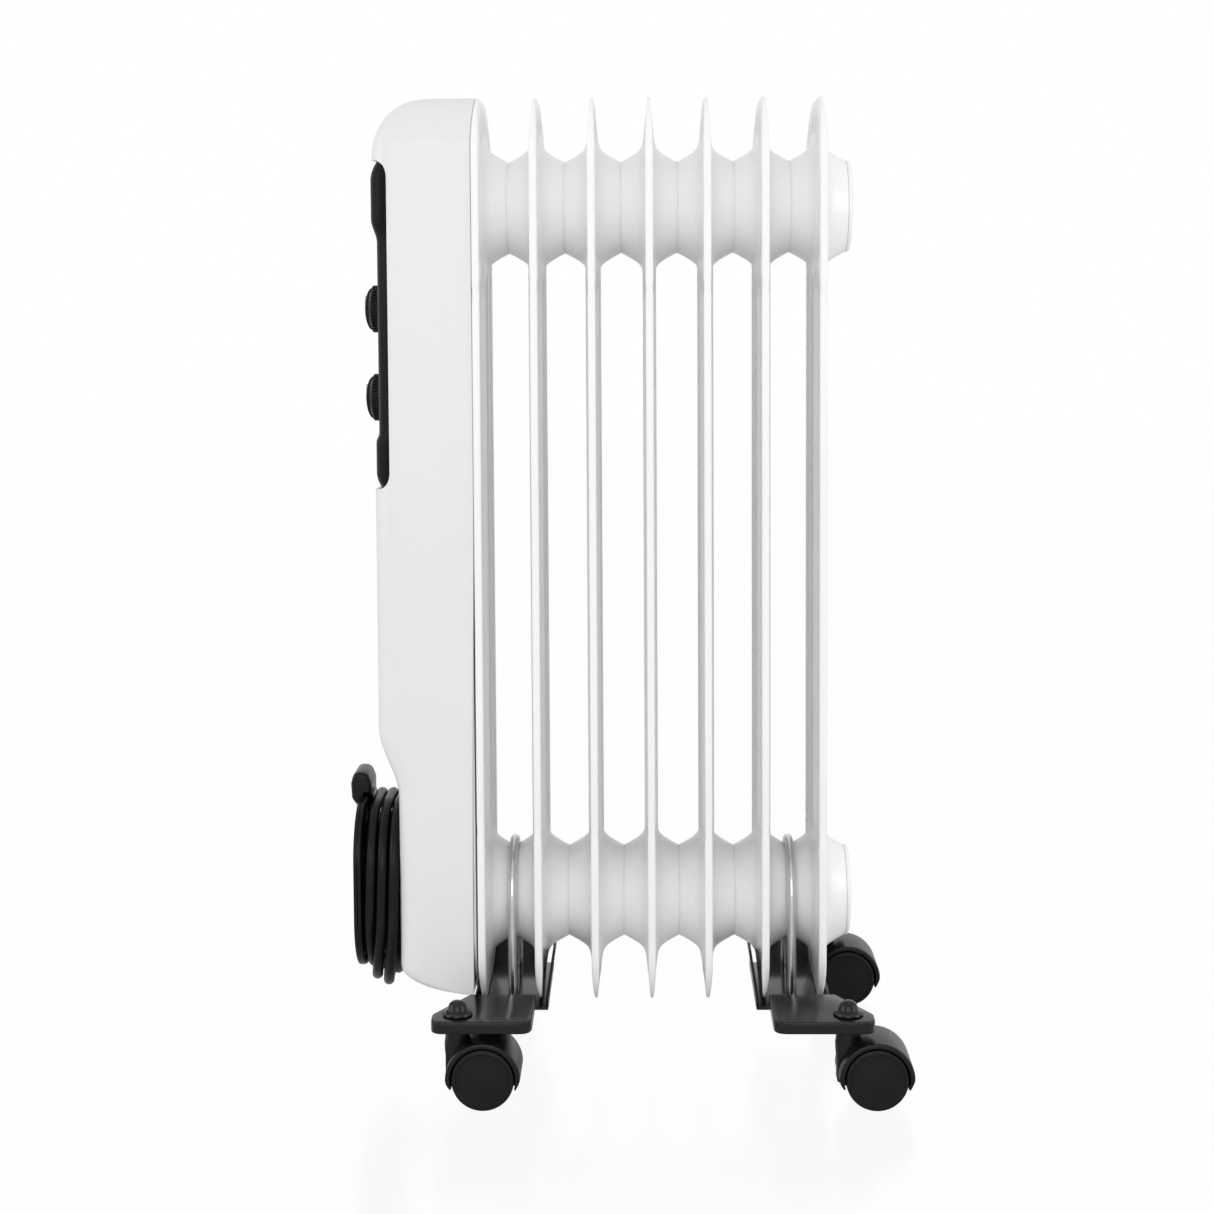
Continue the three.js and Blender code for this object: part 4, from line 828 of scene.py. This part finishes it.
def build_back_plate():
    """The sheet that closes the cover towards the fins, with its holes for the collars and the cut-out."""
    low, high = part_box("housing_back_plate")
    inside = WALL + 0.4 * MM
    outline = rectangle(inside - FIN_HALF_Y, HOUSING_BOTTOM + inside, FIN_HALF_Y - inside, FIN_TOP - inside)
    plate = prism(rounded(outline, FIN_CORNER_R - inside, steps=10), "x", low.x, high.x, 0.2 * MM)
    holes = [turned(rod(radius, 0, 8 * MM), (low.x - 3 * MM, 0, z), (1, 0, 0), 48)
             for radius, z in ((39.7 * MM, COLLAR_Z[0]), (39.7 * MM, COLLAR_Z[1]), (9.5 * MM, 480 * MM))]
    mesh = combined("back_plate", [plate], [("DIFFERENCE", holes)])
    piece("pressed_back_plate", mesh, WHITE_COVER, replaces=["housing_back_plate"], angle=35)


def panel_face(z):
    """Outer face of the panel: proud at the top, recessed round the knobs, a small lip at the bottom."""
    fall = smoothstep(BROW_LOW, BROW_HIGH, z)
    foot = 1 - smoothstep(LIP_LOW, LIP_HIGH, z)
    end = max(z - CURVE_HIGH, 0) / (13 * MM)
    start = max(CURVE_LOW - z, 0) / (11 * MM)
    proud = mix(PANEL_RECESS, HOUSING_FACE - 0.7 * MM, fall)
    return proud - foot * 2 * MM + 5 * MM * end * end + 4.5 * MM * start * start


def panel_skin(wall, back):
    bottom, top = PANEL_BOTTOM + wall, PANEL_TOP - wall
    heights = [mix(bottom, 404 * MM, 1 - math.cos(math.pi / 2 * i / 6)) for i in range(6)]
    for low, high, count in ((404, 420, 3), (420, 430, 6), (430, 550, 8), (550, 569, 10), (569, 590, 3)):
        heights += [mix(low * MM, high * MM, i / count) for i in range(count)]
    heights += [mix(590 * MM, top, math.sin(math.pi / 2 * i / 7)) for i in range(8)]
    half, radius = FIN_HALF_Y - wall, PLAN_R - 2 * MM - wall
    return skin([bowed_level(z, back, panel_face(z) + wall, half, radius, across=4) for z in heights])


LAMP_Z = 583 * MM
LAMP_HALF_Y = 7 * MM
LAMP_HALF_Z = 3 * MM


def lamp_outline(gap):
    """The lamp's opening in the panel, or with a gap the lens inside it."""
    low_z, high_z = LAMP_Z - LAMP_HALF_Z + gap, LAMP_Z + LAMP_HALF_Z - gap
    return rounded(rectangle(-LAMP_HALF_Y + gap, low_z, LAMP_HALF_Y - gap, high_z), 1.4 * MM)


def build_panel():
    keep = prism(panel_window(-0.2 * MM), "y", -FIN_HALF_Y * 1.2, FIN_HALF_Y * 1.2, 0)
    front, rear = HOUSING_FACE - 10 * MM, HOUSING_FACE + 20 * MM
    holes = [turned(rod(5.3 * MM, front, rear), (0, 0, z), (1, 0, 0), 32) for z in KNOB_Z.values()]
    lamp = prism(lamp_outline(0), "x", front, rear, 0)
    mesh = combined("panel", [panel_skin(0, PANEL_BACK + 20 * MM)],
                    [("INTERSECT", [keep]), ("DIFFERENCE", [panel_skin(WALL, PANEL_BACK + 25 * MM)]),
                     ("DIFFERENCE", holes), ("DIFFERENCE", [lamp])])
    piece("moulded_panel", mesh, BLACK_PLASTIC, replaces=["control_panel"], angle=32)

    low = HOUSING_FACE - 1.3 * MM
    lens = prism(lamp_outline(0.3 * MM), "x", low, low + 12 * MM, 0.6 * MM)
    piece("lamp_lens", [lens], AMBER, replaces=["indicator_lamp"])


KNOB_BACK = PANEL_RECESS - 0.5 * MM
THERMOSTAT_SWEEP = 280                         # degrees
SELECTOR_STEPS = 4
THERMOSTAT_MARK_R = 20.6 * MM
SELECTOR_MARK_R = 22.5 * MM
DOT_R = 0.95 * MM
PRINT_DEPTH = 0.4 * MM


def build_knob(node, body):
    """A skirted knob with a domed face, a raised grip bar and a pointer line."""
    z = KNOB_Z[node]
    depth = KNOB_BACK - KNOB_FRONT
    profile = [(0, 3.4 * MM), (KNOB_R - 5.5 * MM, 3.7 * MM), (KNOB_R - 3.2 * MM, 5.2 * MM),
               (KNOB_R - 1.9 * MM, depth - 4.2 * MM), (KNOB_R - 0.3 * MM, depth - 3.4 * MM),
               (KNOB_R, depth - 2.6 * MM), (KNOB_R, depth), (0, depth)]
    profile = [tuple(p) for p in rounded(profile, 0.9 * MM, closed=False, steps=3)]
    disc = turned(profile, (KNOB_FRONT, 0, z), (1, 0, 0), 64)
    grip_r = KNOB_R - 3 * MM
    arch = [(KNOB_FRONT + 8 * MM, z - grip_r)]
    for i in range(17):
        a = math.pi * (i / 16 - 0.5)
        arch.append((KNOB_FRONT + 5.4 * MM * (1 - math.cos(a)), z + grip_r * math.sin(a)))
    arch.append((KNOB_FRONT + 8 * MM, z + grip_r))
    bar = prism(arch, "y", -3.5 * MM, 3.5 * MM, 1.1 * MM)
    flute = [(0, 0), (0.5 * MM, 0.3 * MM), (0.62 * MM, 4.6 * MM), (0, 5 * MM)]
    flutes = [turned(flute, (KNOB_FRONT + 5.2 * MM, y, z + dz), (1, 0, 0), 8)
              for y, dz in circle(KNOB_R - 2.1 * MM, 36)]
    piece(f"{node}_moulding", [disc, bar, *flutes], KNOB_PLASTIC, body, replaces=[node])
    pointer = rounded(rectangle(-0.7 * MM, z + 2 * MM, 0.7 * MM, z + grip_r - 5.5 * MM), 0.5 * MM)
    line = prism(pointer, "x", KNOB_FRONT - 0.15 * MM, KNOB_FRONT + 3 * MM, 0.1 * MM)
    piece(f"{node}_pointer", [line], PRINT, body)


def build_dial_marks():
    """Printed marks on the panel: bars that shrink from the thermostat's top position to its lowest one, and
    a ring for off and one to three dots at the selector's steps."""
    z = KNOB_Z["thermostat_knob"]
    face = PANEL_RECESS - 0.08 * MM
    marks = []
    count = 15
    for i in range(count):
        a = math.radians(90 + THERMOSTAT_SWEEP * i / (count - 1))
        direction, across = Vector((-math.cos(a), math.sin(a))), Vector((math.sin(a), math.cos(a)))
        start = THERMOSTAT_MARK_R
        end = start + mix(5 * MM, 1.6 * MM, i / (count - 1))
        half = 0.55 * MM
        corners = [direction * start - across * half, direction * start + across * half,
                   direction * end + across * half, direction * end - across * half]
        marks.append(prism([(c.x, z + c.y) for c in corners], "x", face, face + PRINT_DEPTH, 0.03 * MM))
    z = KNOB_Z["selector_knob"]
    ring_z = z + SELECTOR_MARK_R
    outlines = [[(y, ring_z + dz) for y, dz in circle(radius, 32)] for radius in (1.5 * MM, DOT_R)]
    marks.append(hollow(*outlines, "x", face, face + PRINT_DEPTH, 0.03 * MM))
    for step in range(1, SELECTOR_STEPS):
        for dot in range(step):
            a = math.radians(90 + 90 * step + (dot - (step - 1) / 2) * 8)
            y, dz = -math.cos(a) * SELECTOR_MARK_R, math.sin(a) * SELECTOR_MARK_R
            marks.append(turned(rod(DOT_R, 0, PRINT_DEPTH), (face, y, z + dz), (1, 0, 0), 20))
    piece("dial_marks", marks, PRINT)


# ---------------------------------------------------------------- cord winder
FLANGE_OUT = HOUSING_FACE - 16.8 * MM
FLANGE_IN = FLANGE_OUT + 4.2 * MM
LUG_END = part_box("cord_winder")[0].x
HUB_FOOT = HOUSING_LOWER - 0.3 * MM
FLANGE_HALF_Y = 56 * MM
FLANGE_BOTTOM = 65 * MM
FLANGE_TOP = 179 * MM
FLANGE_R = 38 * MM
BEAD = 3 * MM                                  # width of the flange's rolled rim


def build_winder():
    """A hub inside the turns, an open outer flange with a rolled rim, and a rounded lug on top."""
    hub_half = INNER_HALF_Y - CORD_R - 1.3 * MM
    hub_low, hub_high = INNER_BOTTOM + 10 * MM, INNER_TOP - CORD_R - 1.3 * MM
    hub_r = 27 * MM
    wall = 2.5 * MM
    hub_inside = racetrack(hub_half - wall, hub_low + wall, hub_high - wall, hub_r - wall)
    rim = racetrack(FLANGE_HALF_Y, FLANGE_BOTTOM, FLANGE_TOP, FLANGE_R)
    rim_inside = racetrack(FLANGE_HALF_Y - BEAD, FLANGE_BOTTOM + BEAD, FLANGE_TOP - BEAD, FLANGE_R - BEAD)
    hub = hollow(racetrack(hub_half, hub_low, hub_high, hub_r), hub_inside, "x", FLANGE_OUT + 0.4 * MM,
                 HUB_FOOT, 0.3 * MM)
    flange = hollow(rim, hub_inside, "x", FLANGE_OUT, FLANGE_IN, 1.3 * MM)
    bead = hollow(rim, rim_inside, "x", FLANGE_OUT - 0.9 * MM, FLANGE_IN - 1.5 * MM, 0.8 * MM)
    gap = 0.5 * MM
    base = prism(racetrack(hub_half - gap, hub_low + gap, hub_high - gap, hub_r - gap), "x",
                 HUB_FOOT - 2 * MM, HUB_FOOT - 0.1 * MM, 0.2 * MM)
    slot_outline = rounded(rectangle(row_x(2) - 4.2 * MM, 107 * MM, row_x(1), 136 * MM), 3 * MM)
    slot = prism(slot_outline, "y", hub_half - 8 * MM, hub_half + 2 * MM, 0)
    holes = [turned(rod(2.8 * MM, -3 * MM, 3 * MM), (HUB_FOOT - 1 * MM, PLUG_Y, PLUG_Z + side * PIN_REACH),
                    (1, 0, 0), 24) for side in (-1, 1)]
    mesh = combined("winder", [hub], [("DIFFERENCE", [slot])])
    holed = combined("winder_base", [base], [("DIFFERENCE", holes)])
    lug = rounded([(FLANGE_IN, 168 * MM), (FLANGE_OUT, 168 * MM), (LUG_END + 0.6 * MM, 177 * MM),
                   (LUG_END, 187 * MM), (LUG_END + 2 * MM, 195 * MM), (LUG_END + 11 * MM, 195 * MM),
                   (LUG_END + 14 * MM, 187 * MM), (LUG_END + 14 * MM, 178.6 * MM), (FLANGE_IN, 178.6 * MM)],
                  [0, 0, 5 * MM, 6 * MM, 6 * MM, 6 * MM, 5 * MM, 1 * MM, 0])
    lug_shell = prism(lug, "y", -16 * MM, 16 * MM, 3 * MM, steps=5)
    extra = mesh_of("winder_rest", [flange, bead, lug_shell])
    made = bmesh.new()
    for part in (mesh, holed, extra):
        made.from_mesh(part)
    joined = bpy.data.meshes.new("winder_all")
    made.to_mesh(joined)
    made.free()
    piece("moulded_winder", joined, WINDER_PLASTIC, replaces=["cord_winder"], angle=35)


# ---------------------------------------------------------------- feet and casters
def build_wing_nut(node):
    """A wing nut made from its CAD node's flat faces, with its edges rounded over."""
    made = bmesh.new()
    made.from_mesh(NODE[node].data)
    bmesh.ops.remove_doubles(made, verts=made.verts, dist=1e-6)
    bmesh.ops.dissolve_limit(made, angle_limit=math.radians(2), verts=made.verts, edges=made.edges)
    name = f"{node}_casting"
    mesh = bpy.data.meshes.new(name)
    made.to_mesh(mesh)
    made.free()
    mesh.materials.clear()
    result = piece(name, mesh, ZINC, replaces=[node], angle=38)
    rounding = result.modifiers.new("rounded edges", "BEVEL")
    rounding.width = 0.6 * MM
    rounding.segments = 3
    rounding.limit_method = "ANGLE"
    rounding.angle_limit = math.radians(28)
    rounding.harden_normals = True


FOOT_X = 93.75 * MM
U_BOLT_R = 3 * MM
U_BOLT_BEND = 34.5 * MM


def foot_shells(side):
    """One pressed sheet: a trough under two fins, a ramp and a lipped, tapered ear at each end."""
    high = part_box("foot_right")[1]
    sheet = 1.8 * MM
    plate_top, floor_top = 57 * MM, 43.6 * MM
    under, plate_under = floor_top - sheet, plate_top - sheet
    outer_x, inner_x = high.x - SHIFT, 77 * MM
    inboard, outboard = FOOT_X - 24.4 * MM, FOOT_X + 24.6 * MM
    trough_y, ramp_y, fold_y = 50 * MM, 64 * MM, 46 * MM
    fold_top, edge_top = 81 * MM, 51 * MM
    beyond = 200 * MM                          # further than the foot reaches

    def span(start, end):
        return sorted((SHIFT + side * start, SHIFT + side * end))

    def placed(outline, end=1):
        return [(SHIFT + side * a, end * b) for a, b in outline]

    low_x, high_x = span(inboard, outboard)
    trough = prism(rectangle(low_x, -trough_y, high_x, trough_y), "z", under, floor_top, 0.4 * MM)
    fold = [(inboard, under), (inboard + sheet, under), (inboard + sheet, floor_top + 4 * MM),
            (inboard - 3.2 * MM, fold_top), (inboard - 5 * MM, fold_top), (inboard, floor_top + 4 * MM)]
    edge = [(outboard - sheet, under + 0.8 * MM), (outboard, under + 0.8 * MM), (outboard, edge_top),
            (outboard - sheet, edge_top)]
    fold_shell, edge_shell = [prism(placed(outline), "y", -fold_y, fold_y, 0.4 * MM)
                              for outline in (fold, edge)]
    ear_outline = rounded([(inner_x, ramp_y - 6 * MM), (inner_x, high.y), (outer_x, high.y),
                           (outer_x, 103 * MM), (outboard + 3 * MM, ramp_y + 1 * MM),
                           (outboard, ramp_y - 6 * MM)], [0, 9 * MM, 10 * MM, 6 * MM, 8 * MM, 0], steps=8)
    ramp = [(trough_y - 0.5 * MM, under), (ramp_y + 0.6 * MM, plate_under),
            (ramp_y + 0.6 * MM, plate_top - 0.02 * MM), (ramp_y, plate_top - 0.02 * MM),
            (trough_y - 0.5 * MM, floor_top)]
    trim = prism(rectangle(-beyond, -ramp_y, beyond, ramp_y), "z", 30 * MM, 70 * MM, 0)
    ends = []
    for end in (-1, 1):
        ear = prism(placed(ear_outline, end), "z", plate_top - 8 * MM, plate_top, 1.1 * MM)
        hollowed = prism(placed(inset(ear_outline, sheet), end), "z", 40 * MM, plate_under, 0)
        mesh = combined("ear", [ear], [("DIFFERENCE", [hollowed]), ("DIFFERENCE", [trim])])
        ends.append(shell_of(mesh))
        ends.append(prism([(end * y, z) for y, z in ramp], "x", *span(inner_x, outboard), 0.2 * MM))
    room = turned(rod(41.2 * MM, -beyond, beyond), (0, 0, COLLAR_Z[0]), (1, 0, 0), 72)
    cut_fold = shell_of(combined("fold", [fold_shell], [("DIFFERENCE", [room])]))
    return [trough, cut_fold, edge_shell, *ends]


def build_foot(label, side):
    piece(f"pressed_foot_{label}", foot_shells(side), BLACK_ENAMEL,
          replaces=[f"foot_{label}"], angle=38)
    x = SHIFT + side * FOOT_X
    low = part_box(f"u_bolt_{label}")[0].z
    path = [(x, -U_BOLT_BEND, low + i * 1.4 * MM) for i in range(14)]
    path += [(x, U_BOLT_BEND * math.cos(a), COLLAR_Z[0] + U_BOLT_BEND * math.sin(a))
             for a in (math.pi * (1 - i / 30) for i in range(31))]
    path += [(x, U_BOLT_BEND, low + i * 1.4 * MM) for i in range(13, -1, -1)]
    count = len(path)

    def threaded(i, _):
        """The legs' ends carry a rolled thread; the rest of the rod is plain."""
        depth = 0.35 * MM if min(i, count - 1 - i) < 12 and i % 2 else 0
        return circle(U_BOLT_R - depth, 20)

    piece(f"u_bolt_rod_{label}", [swept(path, threaded)], ZINC,
          replaces=[f"u_bolt_{label}"], angle=60)
    for end in ENDS:
        build_wing_nut(f"wing_nut_{label}_{end}")


WHEEL_R = 20 * MM
HOOD_R = 24 * MM
HOOD_INNER_R = 20.9 * MM
CASTER_HALF = 19 * MM
WEB_HALF = 6 * MM


def build_caster(label, end):
    """A hooded twin-wheel caster: stem with a domed cap, hood, axle and two wheels."""
    name = f"{label}_{end}"
    pin_low, pin_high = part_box(f"caster_pin_{name}")
    stem = Vector(((pin_low.x + pin_high.x) / 2, (pin_low.y + pin_high.y) / 2, 0))
    axle_low, axle_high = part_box(f"caster_axle_{name}")
    wheel = (axle_low + axle_high) / 2
    seat = pin_high.z - 9 * MM
    pin = [(0, pin_low.z), (3.4 * MM, pin_low.z), (4 * MM, pin_low.z + 0.8 * MM), (4 * MM, seat),
           (9.3 * MM, seat), (9.8 * MM, seat + 0.5 * MM), (9.4 * MM, seat + 1.5 * MM),
           (7.2 * MM, seat + 2.1 * MM), (6.1 * MM, seat + 3.4 * MM), (5.8 * MM, seat + 5.4 * MM),
           (4.9 * MM, seat + 7.2 * MM), (3.2 * MM, seat + 8.4 * MM), (1.5 * MM, seat + 8.9 * MM),
           (0, seat + 9 * MM)]
    piece(f"stem_{name}", [turned(pin, stem, (0, 0, 1), 40)], BLACK_ENAMEL,
          replaces=[f"caster_pin_{name}"], angle=50)

    low, high = -0.3, math.pi + 0.28
    steps = 40
    rings = []
    for i in range(steps + 1):
        t = i / steps
        a = mix(low, high, t)
        taper = min(smoothstep(-0.02, 0.1, t), smoothstep(-0.02, 0.07, 1 - t))
        outer = mix(HOOD_INNER_R + 1.0 * MM, HOOD_R, taper)
        half = mix(CASTER_HALF * 0.93, CASTER_HALF, taper)
        corners = rounded([(HOOD_INNER_R, -half), (outer, -half), (outer, half), (HOOD_INNER_R, half)],
                          [0.5 * MM, 1.6 * MM, 1.6 * MM, 0.5 * MM], steps=4)
        rings.append([(wheel.x + r * math.cos(a), wheel.y + y, wheel.z + r * math.sin(a))
                      for r, y in corners])
    rim = skin(rings)
    web_r = HOOD_R - 1.2 * MM
    web = [(wheel.x + web_r * math.cos(a), wheel.z + web_r * math.sin(a))
           for a in (mix(low, high, i / 28) for i in range(29))]
    web += [(wheel.x - 8 * MM, 7 * MM), (wheel.x + 8 * MM, 7 * MM)]
    web_shell = prism(web, "y", wheel.y - WEB_HALF, wheel.y + WEB_HALF, 0.4 * MM)
    neck_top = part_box(f"caster_hood_{name}")[1].z
    neck = turned([(0, 22 * MM), (7 * MM, 22 * MM), (8.3 * MM, 34 * MM), (8.5 * MM, 39 * MM),
                   (7.8 * MM, 44.5 * MM), (7.6 * MM, neck_top - 0.6 * MM), (7 * MM, neck_top),
                   (4.3 * MM, neck_top), (4.3 * MM, 30 * MM), (0, 30 * MM)], stem, (0, 0, 1), 40)
    rib_outline = rounded(rectangle(stem.x - 7.5 * MM, 14 * MM, stem.x + 6 * MM, 40 * MM), 2 * MM)
    rib = prism(rib_outline, "y", wheel.y - WEB_HALF, wheel.y + WEB_HALF, 1 * MM)
    piece(f"hood_{name}", [rim, web_shell, neck, rib], HOOD_PLASTIC, f"swivel_{name}",
          replaces=[f"caster_hood_{name}"], angle=45)
    axle_length = axle_high.y - axle_low.y
    axle = turned([(0, 0), (2.1 * MM, 0), (2.5 * MM, 0.5 * MM), (2.5 * MM, axle_length - 0.5 * MM),
                   (2.1 * MM, axle_length), (0, axle_length)], (wheel.x, axle_low.y, wheel.z), (0, 1, 0), 28)
    piece(f"axle_{name}", [axle], ZINC, f"swivel_{name}", replaces=[f"caster_axle_{name}"])
    inner = WEB_HALF + 0.5 * MM
    outer = CASTER_HALF + 0.2 * MM
    disc = [(2.8 * MM, inner), (WHEEL_R - 1.6 * MM, inner), (WHEEL_R - 0.4 * MM, inner + 0.5 * MM),
            (WHEEL_R, inner + 1.5 * MM), (WHEEL_R, outer - 2 * MM), (WHEEL_R - 0.5 * MM, outer - 0.7 * MM),
            (WHEEL_R - 1.7 * MM, outer), (WHEEL_R - 2.6 * MM, outer), (WHEEL_R - 3.1 * MM, outer - 0.7 * MM),
            (WHEEL_R - 5 * MM, outer - 0.9 * MM), (7 * MM, outer - 0.3 * MM), (0, outer - 0.1 * MM),
            (0, outer - 3 * MM), (2.8 * MM, outer - 3 * MM)]
    count = 72
    last = (len(disc) - 1) * count
    for letter, outward in (("a", -1), ("b", 1)):
        node = f"wheel_{name}_{letter}"
        verts, faces = turned(disc, wheel, (0, outward, 0), count)
        faces += [(i, (i + 1) % count, last + (i + 1) % count, last + i) for i in range(count)]
        piece(f"{node}_tread", [(verts, faces)], WHEEL_NYLON, node, replaces=[node], angle=35)


# ---------------------------------------------------------------- CAD nodes that stay
def repaint():
    looks = {
        "upper_inner_cap": (WHITE_PAINT, "white_paint"),
        "oil_filler_plug": (ZINC, "zinc"), "element_flange": (BRASS, "brass"),
        "heating_element_600w": (SHEATH_STEEL, "element_steel"),
        "heating_element_900w": (SHEATH_STEEL, "element_steel"), "thermostat": (CREAM, "cream_plastic"),
        "selector_switch": (CREAM, "cream_plastic"), "thermal_cutout": (CREAM, "cream_plastic"),
        "tip_over_switch": (BLACK_PLASTIC, "black_plastic"), "terminal_block": (CREAM, "cream_plastic"),
        "cord_clamp": (BLACK_PLASTIC, "black_plastic"),
    }
    for name, (paint, slot) in looks.items():
        NODE[name].data.materials.clear()
        NODE[name].data.materials.append(paint)


# ---------------------------------------------------------------- studio
FLOOR_SIZE = 12.0
FLOOR_GLOSS = 0.07                              # how much of the floor's white gives way to its reflection
AMBIENT = 0.84


def camera_switch(tree, seen, unseen):
    """A shader that the camera sees one way and everything else another way."""
    rays = tree.nodes.new("ShaderNodeLightPath")
    switch = tree.nodes.new("ShaderNodeMixShader")
    tree.links.new(rays.outputs["Is Camera Ray"], switch.inputs["Fac"])
    tree.links.new(unseen, switch.inputs[1])
    tree.links.new(seen, switch.inputs[2])
    return switch.outputs[0]


def floor_material():
    """White paper for the camera, with a faint reflection; matt light grey for the light it sends back."""
    made = bpy.data.materials.new("studio_floor")
    made.use_nodes = True
    tree = made.node_tree
    shader = tree.nodes["Principled BSDF"]
    shader.inputs["Base Color"].default_value = (0.7, 0.7, 0.7, 1)
    shader.inputs["Roughness"].default_value = 0.6
    white = tree.nodes.new("ShaderNodeEmission")
    white.inputs["Strength"].default_value = (1 - FLOOR_GLOSS * AMBIENT) / (1 - FLOOR_GLOSS)
    mirror = tree.nodes.new("ShaderNodeBsdfGlossy")
    mirror.inputs["Roughness"].default_value = 0.16
    blend = tree.nodes.new("ShaderNodeMixShader")
    blend.inputs["Fac"].default_value = FLOOR_GLOSS
    tree.links.new(white.outputs[0], blend.inputs[1])
    tree.links.new(mirror.outputs[0], blend.inputs[2])
    seen = camera_switch(tree, blend.outputs[0], shader.outputs[0])
    tree.links.new(seen, tree.nodes["Material Output"].inputs["Surface"])
    return made


def add_studio():
    """A white floor and background, with a dimmer surround and broad soft lights that shape the object."""
    data = bpy.data.meshes.new("floor")
    reach = FLOOR_SIZE / 2
    data.from_pydata([(-reach, -reach, 0), (reach, -reach, 0), (reach, reach, 0), (-reach, reach, 0)], [],
                     [(0, 1, 2, 3)])
    floor = bpy.data.objects.new("floor", data)
    scene.collection.objects.link(floor)
    data.materials.append(floor_material())

    world = bpy.data.worlds.new("studio")
    scene.world = world
    world.use_nodes = True
    tree = world.node_tree
    surround = tree.nodes["Background"]
    surround.inputs["Color"].default_value = (1, 1, 1, 1)
    surround.inputs["Strength"].default_value = AMBIENT
    backdrop = tree.nodes.new("ShaderNodeBackground")
    backdrop.inputs["Color"].default_value = (1, 1, 1, 1)
    seen = camera_switch(tree, backdrop.outputs[0], surround.outputs[0])
    tree.links.new(seen, tree.nodes["World Output"].inputs["Surface"])
    lamps = [
        ("front", (-0.1, -2.6, 1.0), 1.6, 12),
        ("left", (-2.0, -0.7, 0.8), 1.0, 6),
        ("right", (2.0, -0.7, 0.8), 1.0, 6),
    ]
    target = Vector((0, 0, 0.35))
    for name, place, width, power in lamps:
        lamp = bpy.data.lights.new(f"{name}_softbox", "AREA")
        lamp.size = width
        lamp.energy = power
        made = bpy.data.objects.new(f"{name}_softbox", lamp)
        scene.collection.objects.link(made)
        made.location = place
        made.rotation_euler = (target - Vector(place)).to_track_quat("-Z", "Y").to_euler()
    scene.view_settings.view_transform = "Standard"


build_fins()
build_end_caps()
build_housing()
build_back_plate()
build_panel()
build_knob("thermostat_knob", "thermostat_dial")
build_knob("selector_knob", "selector_dial")
build_dial_marks()
build_winder()
for label, side in SIDES.items():
    build_foot(label, side)
    for end in ENDS:
        build_caster(label, end)
repaint()
add_studio()
